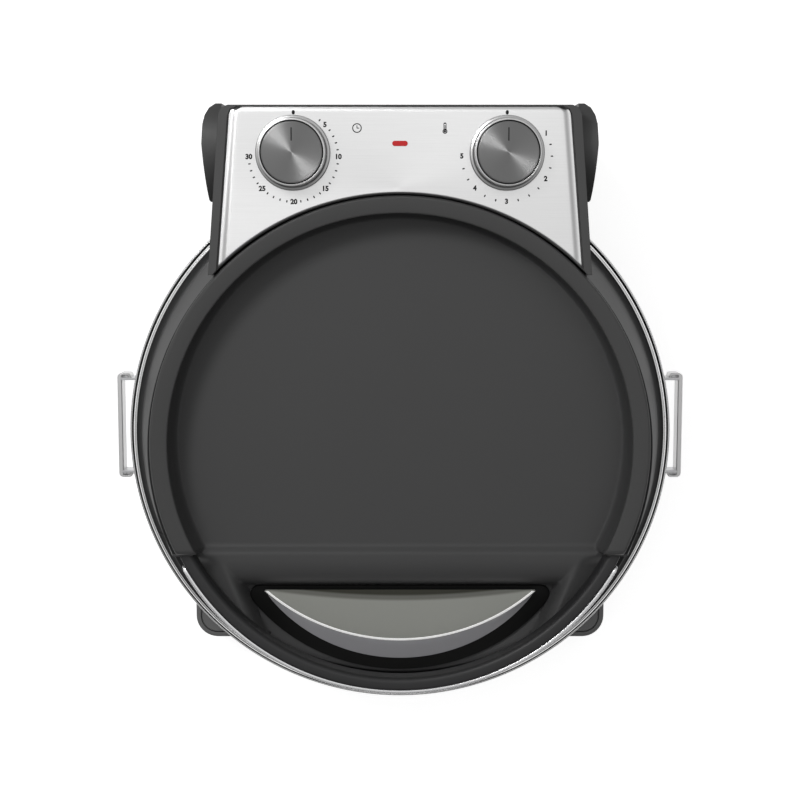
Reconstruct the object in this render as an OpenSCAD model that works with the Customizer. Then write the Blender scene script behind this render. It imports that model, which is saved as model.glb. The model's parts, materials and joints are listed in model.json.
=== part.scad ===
/* [Baking stone] */
// Diameter of the stone
stone_d = 310; // [304:2:316]
// Thickness of the stone
stone_t = 12; // [9:1:13]

/* [Base] */
// Width from the edge of the stone to the outside of the steel rim
rim_margin = 30; // [29:0.5:31]
// Height of the seam where the lid rests, above the table
seam_z = 93; // [90:1:95]
// Height of the feet below the bowl
foot_h = 45; // [43:1:46]

/* [Lid] */
// Height of the crown ring above the seam
crown_h = 82; // [80:1:85]
// Depth of the dish inside the crown ring
dish_depth = 27; // [24:1:28]
// Slope of the window, degrees
window_tilt = 15; // [14:0.5:16]
// Height of the front handle bar
grip_h = 13.6; // [11:0.2:14]

/* [Controls] */
// Distance between the two knobs
knob_pitch = 132.6; // [128:0.2:136]
// Radius of the knob skirts
skirt_r = 23.2; // [21:0.2:23.6]
// Height of the knobs above the panel
knob_h = 16; // [13:0.5:18]

/* [Handles] */
// Length of each side handle
side_grip_l = 73; // [66:1:78]
// Reach of each side handle past the rim
side_reach = 11; // [9:0.5:14]

/* [Hidden] */
$fn = 96;

// Clearances
seat = 0.2;        // between parts that rest on each other
run_gap = 0.05;    // radial play of a pin or shaft
seam_gap = 0.5;    // lid rim above base rim
wall = 3;          // moulded plastic walls
sheet = 1.6;       // pressed steel

// Rim, rear edges of the control housing and the base, and the shift that centres the cooker
stone_r = stone_d / 2;
rim_r = stone_r + rim_margin;
side_grip_x = rim_r + side_reach;
rear_y = rim_r + 32;
bridge_rear_y = rear_y + 4.5;
shift_y = -(bridge_rear_y - rim_r) / 2;
far = 300;         // reach of a cutting block, past every piece

// Base heights
rim_top_z = seam_z - seam_gap;
bowl_z = 28;
bowl_r = rim_r - 4.5;
bowl_foot_r = rim_r - 39;
bowl_wall_z = seam_z - 11;
bridge_top_z = seam_z - 5;
bridge_half = 124;
ledge_z = 73;
support_z = seam_z - 6.5;
vent_plate_r = 118;
wire_hole_z = 58;

// Lid heights
lid_foot_z = seam_z;
crown_z = seam_z + crown_h;
flange_z = crown_z - 7;
dish_z = crown_z - dish_depth;
sill_z = seam_z + 23;
trim_h = 6.5;

// Lid radii
trim_r = rim_r - 4.8;
drum_foot_r = rim_r - 8.8;
drum_top_r = rim_r - 22.8;
crown_out_r = rim_r - 23.4;
crown_in_r = rim_r - 36;
grip_in_r = crown_in_r + 1.4;
grip_out_r = grip_in_r + 8;
crown_end_y = -(rim_r - 121);
front_wall_r = rim_r - 26;

// Front window, on its own sloping plane
window_y = crown_end_y - 32.5;
window_z = dish_z - 15.7;
glass_r = 106.8;
glass_depth = 54.9;
glass_c = glass_r - glass_depth;
glass_top = 4;
glass_t = 4;
glass_rise = 7;
glass_inset = 6;
bend_r = 122;
bend_c = bend_r - glass_depth + 15.8;
opening_top = glass_top + 3.5;
gasket_band = 6;
gasket_front_r = glass_r + 36.2;
gasket_front_c = gasket_front_r - glass_depth - gasket_band;
gasket_end_r = glass_r + 2.2;
gasket_end_c = glass_c - 14.5;
gasket_top = 0.2;
gasket_half = sqrt(pow(gasket_end_r, 2) - pow(gasket_end_c + gasket_top, 2));
screw_angles = [-48, -24, 0, 24, 48];

// Ridge in front of the dish and the shoulders beside the window pocket
ridge_y = crown_end_y - 8;
ridge_z = dish_z + 3.8;
shoulder_x = gasket_half + 15.1;
shoulder_foot_x = gasket_half - 1.8;
shoulder_foot_y = ridge_y - 45.5;

// Hinge
hinge_y = rear_y - 25;
hinge_z = seam_z + 32;
pin_r = 4;
pin_in_x = 103;
pin_out_x = 122;
cover_in_x = 112.3;
cover_r = 41.5;
body_x = 111.5;
lower_swing_r = 31;

// Control housing
housing_z = seam_z + 7.2;
housing_top_z = crown_z + 2;
panel_z = housing_top_z - 1.5;
panel_t = 1.2;
housing_arc_r = crown_out_r + 0.7;
panel_arc_r = housing_arc_r + 0.5;
housing_half = 112.5;
housing_front_half = 120;
housing_front_y = rim_r - 73;
panel_half = 106;
panel_front_half = 114.4;
panel_rear_y = rear_y - 1.7;
cheek_y = rim_r - 36.5;
knob_x = knob_pitch / 2;
knob_y = rear_y - 29.5;
knob_z = panel_z + panel_t + seat + 0.5;
knob_top_z = panel_z + panel_t + knob_h;
shaft_r = 3;
cap_r = 19.4;
lamp_y = rear_y - 23.7;
lamp_l = 9.6;
lamp_w = 3.2;

// Side handles and feet
side_y = 4;
strap_t = 3;
strap_z0 = 64;
strap_z1 = 79;
leg_size = 48;
leg_corner = 13.5;
leg_front_x = rim_r - 60;
leg_front_y = -(rim_r - 51);
leg_rear_x = 92;
leg_rear_y = rear_y - 33;
pad_t = 2.5;

// Loops
lower_loop_r = 110;
lower_loop_z = ledge_z - 15;
upper_loop_r = 94;
upper_loop_z = seam_z + 25;
tube_r = 4;
loop_gap = 12;
tail_end_y = hinge_y - 9;
bulb_z = upper_loop_z + 16;
gland_x = 45;
gland_z = 66;
cord_r = 3.6;
gland_r = 6;
rivet_r = bowl_side((strap_z0 + strap_z1) / 2);

// Whole turned body from a half outline
module lathe(outline) {
    rotate_extrude() polygon(outline);
}

// Flat ring between two radii and two heights
module hoop(r_in, r_out, z0, z1) {
    difference() {
        translate([0, 0, z0]) cylinder(h = z1 - z0, r = r_out);
        translate([0, 0, z0 - 1]) cylinder(h = z1 - z0 + 2, r = r_in);
    }
}

// Everything in front of a line across the cooker
module front_of(y) {
    translate([-far, y - 2 * far, -10]) cube([2 * far, 2 * far, far]);
}

// Everything behind a line across the cooker
module behind(y) {
    translate([-far, y, -10]) cube([2 * far, 2 * far, far]);
}

// Screw with a pan head, head down, tip up
module pan_screw(r, l, head_r, head_h) {
    cylinder(h = head_h, r = head_r, $fn = 32);
    translate([0, 0, head_h]) cylinder(h = l, r = r, $fn = 32);
}

// Upright block with four round corners
module round_block(size_x, size_y, h, r) {
    for (x = [-1, 1]) {
        for (y = [-1, 1]) {
            translate([x * (size_x / 2 - r), y * (size_y / 2 - r), 0]) cylinder(h = h, r = r, $fn = 48);
        }
    }
    translate([-size_x / 2 + r, -size_y / 2, 0]) cube([size_x - 2 * r, size_y, h]);
    translate([-size_x / 2, -size_y / 2 + r, 0]) cube([size_x, size_y - 2 * r, h]);
}

// Left and right copies
module both_sides() {
    children();
    mirror([1, 0, 0]) children();
}

// Open heating loop with a round joint at each end
module heating_loop(r, z) {
    end_y = sqrt(r * r - loop_gap * loop_gap);
    difference() {
        translate([0, 0, z]) rotate_extrude() translate([r, 0]) circle(r = tube_r, $fn = 32);
        translate([-loop_gap, end_y - 12, z - 10]) cube([2 * loop_gap, 30, 20]);
    }
    for (x = [-1, 1]) {
        translate([x * loop_gap, end_y, z]) sphere(r = tube_r + 0.6, $fn = 32);
    }
}

// ---- Base ----

module bowl_solid(grow = 0) {
    lathe([[0, bowl_z - grow], [bowl_foot_r, bowl_z - grow], [bowl_foot_r + 8 + grow, bowl_z + 2 - grow],
           [bowl_foot_r + 14 + grow, bowl_z + 7 - grow], [bowl_r - 2 + grow, bowl_wall_z - 6],
           [bowl_r + grow, bowl_wall_z], [bowl_r + grow, seam_z - 5], [0, seam_z - 5]]);
}

module bowl_inside() {
    lathe([[0, bowl_z + 1.5], [bowl_foot_r - 0.4, bowl_z + 1.5], [bowl_foot_r + 7.2, bowl_z + 3.4],
           [bowl_foot_r + 12.8, bowl_z + 8], [bowl_r - 3.5, bowl_wall_z - 5.6],
           [bowl_r - 1.5, bowl_wall_z + 0.4], [bowl_r - 1.5, seam_z], [0, seam_z]]);
}

// Outside radius of the bowl wall at a height
function bowl_side(z) =
    bowl_foot_r + 14 + (bowl_r - 16 - bowl_foot_r) * (z - bowl_z - 7) / (bowl_wall_z - bowl_z - 13);

module leg_screw_places() {
    both_sides() {
        translate([leg_front_x - 18, leg_front_y + 18, 0]) children();
        translate([leg_rear_x - 14, leg_rear_y, 0]) children();
        translate([leg_rear_x + 14, leg_rear_y, 0]) children();
    }
}

module rivet_places() {
    both_sides() {
        for (y = [side_y - 20, side_y, side_y + 20]) {
            rotate([0, 0, asin(y / rivet_r)]) translate([0, 0, (strap_z0 + strap_z1) / 2]) children();
        }
    }
}

module base_shell() {
    color("dimgray") difference() {
        bowl_solid();
        bowl_inside();
        translate([0, 0, bowl_z - 5]) cylinder(h = 10, r = vent_plate_r - 12);
        bottom_screw_places() cylinder(h = 12, r = 1.7, center = true, $fn = 24);
        leg_screw_places() cylinder(h = 60, r = 2.2, $fn = 24);
        rivet_places() translate([rivet_r - 14, 0, 0]) rotate([0, 90, 0]) cylinder(h = 28, r = 2.1, $fn = 24);
        translate([0, bowl_foot_r, wire_hole_z]) rotate([-90, 0, 0]) cylinder(h = 60, r = 11, $fn = 48);
    }
}

module base_rim_ring() {
    color("silver") lathe([[bowl_r + seat, bowl_wall_z - 2], [rim_r - 0.8, bowl_wall_z - 1.4],
                           [rim_r, bowl_wall_z], [rim_r, rim_top_z - 1.4], [rim_r - 0.5, rim_top_z - 0.3],
                           [rim_r - 1.3, rim_top_z], [rim_r - 2, rim_top_z - 0.6],
                           [rim_r - 2, bowl_wall_z + 3], [rim_r - 3.6, bowl_wall_z + 2],
                           [bowl_r + seat, bowl_wall_z + 2]]);
}

module bottom_screw_places() {
    for (a = [45:90:315]) {
        rotate([0, 0, a]) translate([vent_plate_r - 6, 0, bowl_z]) children();
    }
}

module bottom_plate() {
    color("gray") difference() {
        translate([0, 0, bowl_z - seat - 1.5]) cylinder(h = 1.5, r = vent_plate_r);
        bottom_screw_places() cylinder(h = 12, r = 2.2, center = true, $fn = 24);
        for (a = [0:30:330]) {
            rotate([0, 0, a]) translate([48, -2.5, bowl_z - 6]) cube([vent_plate_r - 78, 5, 12]);
        }
    }
}

module bottom_plate_screws() {
    color("silver") bottom_screw_places() {
        translate([0, 0, -seat - 1.5 - seat - 2]) pan_screw(1.6, 8, 3.4, 2);
    }
}

module leg(x, y) {
    color("darkgray") difference() {
        union() {
            translate([x, y, pad_t + seat]) round_block(leg_size, leg_size, foot_h - 6, leg_corner);
            translate([x, y, pad_t + seat]) round_block(leg_size - 7, leg_size - 7, foot_h - pad_t - seat - 0.3, leg_corner - 3.5);
        }
        bowl_solid(seat);
        translate([0, 0, -1]) leg_screw_places() cylinder(h = 16, r = 5, $fn = 32);
        leg_screw_places() cylinder(h = 60, r = 2.2, $fn = 24);
    }
}

module leg_front_left() {
    leg(-leg_front_x, leg_front_y);
}

module leg_front_right() {
    leg(leg_front_x, leg_front_y);
}

module leg_rear_left() {
    leg(-leg_rear_x, leg_rear_y);
}

module leg_rear_right() {
    leg(leg_rear_x, leg_rear_y);
}

module foot_pads() {
    color("black") both_sides() {
        translate([leg_front_x + 4, leg_front_y - 4, 0]) cylinder(h = pad_t, r = 12, $fn = 48);
        translate([leg_rear_x, leg_rear_y, 0]) cylinder(h = pad_t, r = 8, $fn = 48);
    }
}

module leg_screws() {
    color("silver") leg_screw_places() {
        translate([0, 0, 12.5]) pan_screw(2, foot_h - 8, 4.2, 2.4);
    }
}

module stone_support() {
    color("gainsboro") lathe([[stone_r - 10, ledge_z], [stone_r + 2, ledge_z], [stone_r + 2, support_z - 1.2],
                              [bowl_r - 1.5 - seat, support_z - 1.2], [bowl_r - 1.5 - seat, support_z],
                              [stone_r + 0.8, support_z], [stone_r + 0.8, ledge_z + 1.2],
                              [stone_r - 10, ledge_z + 1.2]]);
}

module baking_stone() {
    stone_z = ledge_z + 1.2 + seat;
    color("tan") lathe([[0, stone_z], [stone_r - 1.5, stone_z], [stone_r, stone_z + 1.5],
                        [stone_r, stone_z + stone_t - 1.5], [stone_r - 1.5, stone_z + stone_t],
                        [0, stone_z + stone_t]]);
}

module lower_reflector() {
    rz = ledge_z - seat;
    floor_r = stone_r - 24;
    color("lightgray") difference() {
        lathe([[0, rz - 27], [floor_r, rz - 27], [floor_r + 6, rz - 25], [stone_r - 9, rz - 1],
               [stone_r + 1, rz - 1], [stone_r + 1, rz], [stone_r - 9.8, rz],
               [floor_r + 5.2, rz - 24.2], [floor_r - 0.2, rz - 26], [0, rz - 26]]);
        for (x = [-1, 1]) {
            translate([x * loop_gap, lower_loop_r, 0]) cylinder(h = 60, r = tube_r + 1.5, $fn = 32);
        }
    }
}

module lower_heating_element() {
    end_y = sqrt(lower_loop_r * lower_loop_r - loop_gap * loop_gap);
    color("darkslategray") {
        heating_loop(lower_loop_r, lower_loop_z);
        for (x = [-1, 1]) {
            translate([x * loop_gap, end_y, lower_loop_z - 24]) cylinder(h = 24, r = tube_r - 0.5, $fn = 32);
        }
    }
}

module lower_element_clips() {
    color("silver") for (a = [30, 150, 270]) {
        difference() {
            rotate([0, 0, a]) translate([lower_loop_r - 7, -4, ledge_z - 26]) cube([14, 8, 18]);
            translate([0, 0, lower_loop_z]) rotate_extrude() translate([lower_loop_r, 0]) circle(r = tube_r + 0.1, $fn = 32);
        }
    }
}

module thermal_cutout() {
    color("ivory") translate([40, -30, ledge_z - 27.4 - 9]) {
        cylinder(h = 9, r = 9, $fn = 48);
        translate([-15, -4, 7.5]) cube([30, 8, 1.5]);
    }
}

module terminal_block() {
    color("white") difference() {
        translate([-24, lower_loop_r + 12, bowl_z + 1.5 + seat]) cube([48, 14, 13]);
        for (x = [-16:8:16]) {
            translate([x, lower_loop_r + 19, bowl_z + 6]) cylinder(h = 20, r = 2, $fn = 24);
        }
    }
}

// Outline of the rear bridge seen from above
module bridge_plan(inset = 0) {
    half = bridge_half - inset;
    front = rim_r - 45;
    rear = bridge_rear_y - inset;
    notch = bridge_rear_y - 7.5 - inset;
    polygon([[-half, front], [half, front], [half, bridge_rear_y - 8], [half - 8, rear],
             [leg_rear_x + inset, rear], [leg_rear_x + inset, notch],
             [-leg_rear_x - inset, notch], [-leg_rear_x - inset, rear], [8 - half, rear], [-half, bridge_rear_y - 8]]);
}

module rear_bridge() {
    color("dimgray") difference() {
        translate([0, 0, foot_h + 0.3]) linear_extrude(bridge_top_z - foot_h - 0.3) bridge_plan();
        translate([0, 0, foot_h + 0.3 + wall]) linear_extrude(bridge_top_z - foot_h - 0.3 - 2 * wall) bridge_plan(wall);
        translate([0, 0, foot_h - 5]) cylinder(h = 60, r = bowl_r + 1.4);
        bowl_solid(seat);
        translate([0, 0, bowl_wall_z - 3]) cylinder(h = 30, r = rim_r + seat);
        both_sides() translate([100, rim_r - 55, foot_h - 5]) cube([40, 20, 60]);
        translate([gland_x, rear_y - 17, gland_z]) rotate([-90, 0, 0]) cylinder(h = 30, r = gland_r + 0.1, $fn = 48);
        leg_screw_places() cylinder(h = 60, r = 2.2, $fn = 24);
    }
}

module hinge_cover() {
    cover_base_z = bridge_top_z + seat;
    plan = [[cover_in_x, hinge_y - 34.6], [cover_in_x + 8.5, hinge_y - 34.6], [cover_in_x + 9.3, hinge_y - 33.6],
            [cover_in_x + 12, hinge_y + 1.5], [cover_in_x + 11.4, hinge_y + 14], [cover_in_x + 10.2, hinge_y + 19.6],
            [cover_in_x + 7.6, hinge_y + 24.4], [cover_in_x + 3.9, hinge_y + 27], [cover_in_x, hinge_y + 27]];
    color("dimgray") difference() {
        intersection() {
            translate([0, 0, cover_base_z]) linear_extrude(90) polygon(plan);
            union() {
                translate([100, hinge_y, hinge_z]) rotate([0, 90, 0]) cylinder(h = 30, r = cover_r);
                translate([100, hinge_y - 42, cover_base_z]) cube([30, 70, hinge_z - cover_base_z]);
            }
        }
        translate([100, hinge_y, hinge_z]) rotate([0, 90, 0]) cylinder(h = pin_out_x + seat - 100, r = pin_r + run_gap, $fn = 48);
    }
}

module hinge_cover_left() {
    mirror([1, 0, 0]) hinge_cover();
}

module hinge_cover_right() {
    hinge_cover();
}

module hinge_pin() {
    color("silver") translate([pin_in_x, hinge_y, hinge_z]) rotate([0, 90, 0]) cylinder(h = pin_out_x - pin_in_x, r = pin_r, $fn = 48);
}

module hinge_pin_left() {
    mirror([1, 0, 0]) hinge_pin();
}

module hinge_pin_right() {
    hinge_pin();
}

module cord_gland() {
    color("black") translate([gland_x, rear_y - 10, gland_z]) rotate([-90, 0, 0]) difference() {
        union() {
            cylinder(h = 14, r = gland_r, $fn = 48);
            translate([0, 0, 7.2]) cylinder(h = 4, r = gland_r + 3, $fn = 48);
            cylinder(h = 3.5, r = gland_r + 2, $fn = 48);
        }
        translate([0, 0, -1]) cylinder(h = 16, r = cord_r, $fn = 48);
    }
}

module side_strap() {
    half = side_grip_l / 2;
    bend = 4;
    color("silver") translate([0, side_y, strap_z0]) difference() {
        union() {
            translate([side_grip_x - bend, -half + bend, 0]) cylinder(h = strap_z1 - strap_z0, r = bend, $fn = 32);
            translate([side_grip_x - bend, half - bend, 0]) cylinder(h = strap_z1 - strap_z0, r = bend, $fn = 32);
            translate([side_grip_x - bend, -half + bend, 0]) cube([bend, side_grip_l - 2 * bend, strap_z1 - strap_z0]);
            translate([rim_r + 1.2, -half, 0]) cube([side_grip_x - bend - rim_r - 1.2, side_grip_l, strap_z1 - strap_z0]);
        }
        translate([rim_r, -half + strap_t, -1]) cube([side_grip_x - strap_t - rim_r, side_grip_l - 2 * strap_t, 40]);
    }
}

module side_handle_left() {
    mirror([1, 0, 0]) side_strap();
}

module side_handle_right() {
    side_strap();
}

module handle_bracket() {
    plate_y = side_grip_l / 2 - strap_t - seat - 1.8;
    color("silver") difference() {
        union() {
            intersection() {
                bowl_solid(2.4);
                translate([rim_r - 35, side_y - plate_y - 0.5, strap_z0]) cube([40, 2 * plate_y + 1, strap_z1 - strap_z0]);
            }
            for (y = [-plate_y - 1.8, plate_y]) {
                translate([rim_r - 35, side_y + y, strap_z0]) cube([side_grip_x - strap_t - seat - rim_r + 35, 1.8, strap_z1 - strap_z0]);
            }
        }
        bowl_solid(seat);
        rivet_places() translate([rivet_r - 14, 0, 0]) rotate([0, 90, 0]) cylinder(h = 28, r = 2.1, $fn = 24);
    }
}

module handle_bracket_left() {
    mirror([1, 0, 0]) handle_bracket();
}

module handle_bracket_right() {
    handle_bracket();
}

module handle_rivets() {
    color("silver") rivet_places() {
        translate([rivet_r - 8.5, 0, 0]) rotate([0, 90, 0]) cylinder(h = 12.8, r = 2, $fn = 24);
        translate([rivet_r + 4.3, 0, 0]) rotate([0, 90, 0]) cylinder(h = 1.2, r = 3.4, $fn = 24);
    }
}

// ---- Lid ----

module on_window() {
    translate([0, window_y, window_z]) rotate([window_tilt, 0, 0]) children();
}

// Half-moon outline of the window, straight edge at the top of the slope
module half_moon(r, c, top) {
    intersection() {
        translate([0, c]) circle(r = r, $fn = 128);
        translate([-far, -far]) square([2 * far, far - top]);
    }
}

// Outline of the gasket, a wide front arc with rounder ends
module gasket_shape(inset, top) {
    intersection() {
        half_moon(gasket_front_r - inset, gasket_front_c, top);
        half_moon(gasket_end_r - inset, gasket_end_c, top);
    }
}

// Section of the front of the lid, from the dish to the sill
function front_line(drop) = [
    [ridge_y + 12, dish_z - drop], [ridge_y + 7, dish_z - drop], [ridge_y + 4.5, dish_z + 0.8 - drop],
    [ridge_y + 2.4, dish_z + 3 - drop], [ridge_y, ridge_z - drop], [ridge_y - 2.4, dish_z + 3 - drop],
    [ridge_y - 6, dish_z - 0.4 - drop],
    [window_y + 1.6, window_z + 0.6 - drop], [window_y, window_z - drop],
    [window_y - 72, window_z - 72 * tan(window_tilt) - drop]];

module across(outline) {
    translate([-far, 0, 0]) rotate([90, 0, 90]) linear_extrude(2 * far) polygon(outline);
}

module above_front(drop) {
    across(concat(front_line(drop), [[window_y - 72, far], [ridge_y + 12, far]]));
}

// Shoulder beside the window pocket, from its sloping side wall out to the upright wall
module shoulder_block(inset) {
    slant = 1.08 * inset;
    intersection() {
        both_sides() translate([0, 0, sill_z - 5]) linear_extrude(ridge_z - inset - sill_z + 5) polygon([
            [shoulder_x + slant, ridge_y - inset], [shoulder_foot_x + slant + 0.4 * inset, shoulder_foot_y + inset],
            [far, shoulder_foot_y + inset], [far, ridge_y - inset]]);
        cylinder(h = far, r = front_wall_r - inset);
    }
}

module drum_solid(shrink) {
    lathe([[0, lid_foot_z - 1], [drum_foot_r - shrink, lid_foot_z - 1], [drum_foot_r - shrink, lid_foot_z + 7],
           [drum_top_r - shrink, flange_z], [0, flange_z]]);
}

module lid_skin() {
    difference() {
        lathe([[drum_foot_r, lid_foot_z + 1], [drum_foot_r, lid_foot_z + 7], [drum_top_r, flange_z],
               [crown_in_r, flange_z], [crown_in_r - 1.8, dish_z + 3.6], [crown_in_r - 2.8, dish_z + 1.2],
               [crown_in_r - 4.8, dish_z], [0, dish_z], [0, dish_z - sheet], [crown_in_r - 4.4, dish_z - sheet],
               [crown_in_r - 1.6, dish_z - 0.2], [crown_in_r - 0.2, dish_z + 3], [crown_in_r + 1.5, flange_z - sheet],
               [drum_top_r - sheet + 0.2, flange_z - sheet], [drum_foot_r - sheet, lid_foot_z + 6.8],
               [drum_foot_r - sheet, lid_foot_z + 1]]);
        intersection() {
            front_of(crown_end_y - sheet);
            translate([-far, -far, sill_z]) cube([2 * far, far, 100]);
        }
    }
}

module lid_front() {
    // pocket wall, window slope
    difference() {
        intersection() {
            across(concat(front_line(0), [for (i = [9:-1:0]) front_line(sheet)[i]]));
            front_of(crown_end_y);
            cylinder(h = far, r = front_wall_r);
        }
        on_window() translate([0, 0, -10]) linear_extrude(20) half_moon(glass_r - glass_inset, glass_c, opening_top);
        shoulder_block(sheet);
    }
    // shoulders
    intersection() {
        difference() {
            shoulder_block(0);
            shoulder_block(sheet);
        }
        above_front(sheet);
    }
    // upright wall under the grip
    difference() {
        hoop(front_wall_r - sheet, front_wall_r, sill_z - sheet, dish_z + 1);
        behind(crown_end_y - 0.1);
        above_front(0.1);
    }
    // sill
    intersection() {
        hoop(front_wall_r - sheet, drum_foot_r + 5, sill_z - sheet, sill_z);
        drum_solid(0);
        front_of(crown_end_y);
    }
    // end walls below the crown
    intersection() {
        difference() {
            drum_solid(0.1);
            cylinder(h = far, r = crown_in_r - 1);
            translate([0, 0, sill_z - 50]) cylinder(h = dish_z - sill_z + 48, r = front_wall_r - 0.8);
            cylinder(h = sill_z - 0.5, r = far);
        }
        translate([-far, crown_end_y - sheet, 0]) cube([2 * far, sheet, far]);
    }
}

module lid_shell() {
    color("dimgray") difference() {
        union() {
            lid_skin();
            lid_front();
        }
        grip_screw_places() cylinder(h = 30, r = 2.2, center = true, $fn = 24);
        mount_screw_places() cylinder(h = 60, r = 2.2, center = true, $fn = 24);
        element_tail_places() cylinder(h = 60, r = tube_r + 1, center = true, $fn = 32);
        translate([knob_x, rim_r - 75, bulb_z]) rotate([-90, 0, 0]) cylinder(h = 80, r = 2.5, $fn = 24);
        retainer_screw_places() cylinder(h = 30, r = 1.6, center = true, $fn = 24);
    }
}

module lid_trim_ring() {
    color("silver") lathe([[drum_foot_r + seat, lid_foot_z], [trim_r - 0.4, lid_foot_z], [trim_r, lid_foot_z + 0.4],
                           [trim_r, lid_foot_z + trim_h - 1.6], [trim_r - 1, lid_foot_z + trim_h - 0.4],
                           [trim_r - 2, lid_foot_z + trim_h], [drum_foot_r + seat, lid_foot_z + trim_h]]);
}

module crown_ring() {
    color("dimgray") difference() {
        lathe([[crown_in_r, flange_z + seat], [crown_out_r, flange_z + seat], [crown_out_r, crown_z - 2.2],
               [crown_out_r - 0.8, crown_z - 0.7], [crown_out_r - 2.4, crown_z], [crown_in_r + 0.8, crown_z],
               [crown_in_r, crown_z - 0.8]]);
        front_of(crown_end_y);
    }
}

module lid_reflector() {
    rz = dish_z - sheet - 5;
    dome_r = crown_in_r - 23;
    skirt_in_r = rim_r - 35;
    rest_r = drum_foot_r - sheet - seat;
    color("lightgray") difference() {
        union() {
            difference() {
                lathe([[0, rz - 1], [dome_r, rz - 1], [dome_r + 8, rz - 4], [skirt_in_r, seam_z + 4],
                       [rest_r, seam_z + 3], [rest_r, seam_z + 4], [skirt_in_r + 0.8, seam_z + 5],
                       [dome_r + 8.8, rz - 3.2], [dome_r + 0.3, rz], [0, rz]]);
                front_of(crown_end_y + 2);
            }
            hoop(skirt_in_r, rest_r, seam_z + 3, seam_z + 4);
        }
        element_tail_places() cylinder(h = 80, r = tube_r + 1.5, center = true, $fn = 32);
        translate([knob_x, rim_r - 85, bulb_z]) rotate([-90, 0, 0]) cylinder(h = 60, r = 2.5, $fn = 24);
    }
}

module element_tail_places() {
    for (x = [-1, 1]) {
        translate([x * loop_gap, rim_r - 25, upper_loop_z]) rotate([90, 0, 0]) children();
    }
}

module upper_heating_element() {
    end_y = sqrt(upper_loop_r * upper_loop_r - loop_gap * loop_gap);
    color("darkslategray") {
        heating_loop(upper_loop_r, upper_loop_z);
        for (x = [-1, 1]) {
            translate([x * loop_gap, end_y, upper_loop_z]) rotate([-90, 0, 0]) cylinder(h = tail_end_y - end_y, r = tube_r - 0.5, $fn = 32);
        }
    }
}

module upper_element_clips() {
    rz = dish_z - sheet - 6 - seat;
    color("silver") for (a = [15, 165]) {
        difference() {
            rotate([0, 0, a]) translate([upper_loop_r - 7, -4, upper_loop_z - 6]) cube([14, 8, rz - upper_loop_z + 6]);
            translate([0, 0, upper_loop_z]) rotate_extrude() translate([upper_loop_r, 0]) circle(r = tube_r + 0.1, $fn = 32);
        }
    }
}

module window_glass() {
    color("lightblue", 0.4) on_window() difference() {
        hull() {
            translate([0, 0, 0.3]) linear_extrude(glass_t - 1) half_moon(glass_r - seat, glass_c, glass_top + seat);
            translate([0, 0, glass_rise]) linear_extrude(0.5) half_moon(bend_r, bend_c, glass_top + seat);
        }
        hull() {
            translate([0, 0, -1]) linear_extrude(2) half_moon(glass_r - glass_inset, glass_c, opening_top);
            translate([0, 0, glass_rise - glass_t]) linear_extrude(0.5) half_moon(bend_r - 3, bend_c, opening_top);
        }
    }
}

module window_gasket() {
    color("black") on_window() difference() {
        translate([0, 0, seat]) linear_extrude(2.6) gasket_shape(0, gasket_top);
        linear_extrude(10) half_moon(glass_r, glass_c, glass_top);
    }
}

module retainer_screw_places() {
    on_window() for (a = screw_angles) {
        translate([0, glass_c, 0]) rotate([0, 0, a]) translate([0, 1 - glass_r, 0]) children();
    }
}

module window_retainer() {
    color("silver") on_window() difference() {
        translate([0, 0, -sheet - seat - 1.2]) linear_extrude(1.2) gasket_shape(1.5, gasket_top + 2.4);
        translate([0, 0, -10]) linear_extrude(20) half_moon(glass_r - glass_inset, glass_c, opening_top);
        for (a = screw_angles) {
            translate([0, glass_c, 0]) rotate([0, 0, a]) translate([0, 1 - glass_r, 0]) cylinder(h = 20, r = 1.6, center = true, $fn = 24);
        }
    }
}

module retainer_screws() {
    color("silver") retainer_screw_places() {
        translate([0, 0, -sheet - seat - 1.2 - seat - 1.6]) pan_screw(1.4, sheet + 2 * seat + 1.2 + 0.1, 3, 1.6);
    }
}

module grip_screw_places() {
    mid_r = (grip_in_r + grip_out_r) / 2 - 0.5;
    for (x = [-1, 1]) {
        translate([x * sqrt(mid_r * mid_r - crown_end_y * crown_end_y), crown_end_y, flange_z - 8.5]) rotate([90, 0, 0]) children();
    }
}

module front_handle() {
    top = flange_z - 2;
    color("black") difference() {
        lathe([[grip_in_r, top - grip_h], [grip_out_r - 0.8, top - grip_h], [grip_out_r, top - grip_h + 1],
               [grip_out_r, top - 0.8], [grip_out_r - 1.2, top - 0.2], [grip_in_r + 4.6, top],
               [grip_in_r + 2.6, top - 0.6], [grip_in_r + 0.8, top - 2.2], [grip_in_r, top - 4.6]]);
        behind(crown_end_y - sheet - seat);
        grip_screw_places() cylinder(h = 30, r = 1.7, center = true, $fn = 24);
    }
}

module handle_trim_strip() {
    top = flange_z - 2;
    color("gainsboro") difference() {
        lathe([[grip_out_r + seat, top - 8], [grip_out_r + 3, top - 8], [grip_out_r + 3, top - 3.4],
               [grip_out_r + 2.4, top - 1.4], [grip_out_r + 1.2, top - 0.4], [grip_out_r + seat, top - 0.2]]);
        behind(crown_end_y - 12.6);
    }
}

module handle_screws() {
    color("silver") grip_screw_places() translate([0, 0, -3.2]) pan_screw(1.6, 6, 2.5, 2.6);
}

// Plan of the control housing, with a margin all round
module housing_plan(margin = 0) {
    half = housing_half + margin;
    front = housing_front_half + margin;
    rear = rear_y + margin;
    polygon([[6 - half, rear], [1.8 - half, rear - 1.8], [-half, rear - 6], [-front, housing_front_y],
             [front, housing_front_y], [half, rear - 6], [half - 1.8, rear - 1.8], [half - 6, rear]]);
}

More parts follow.
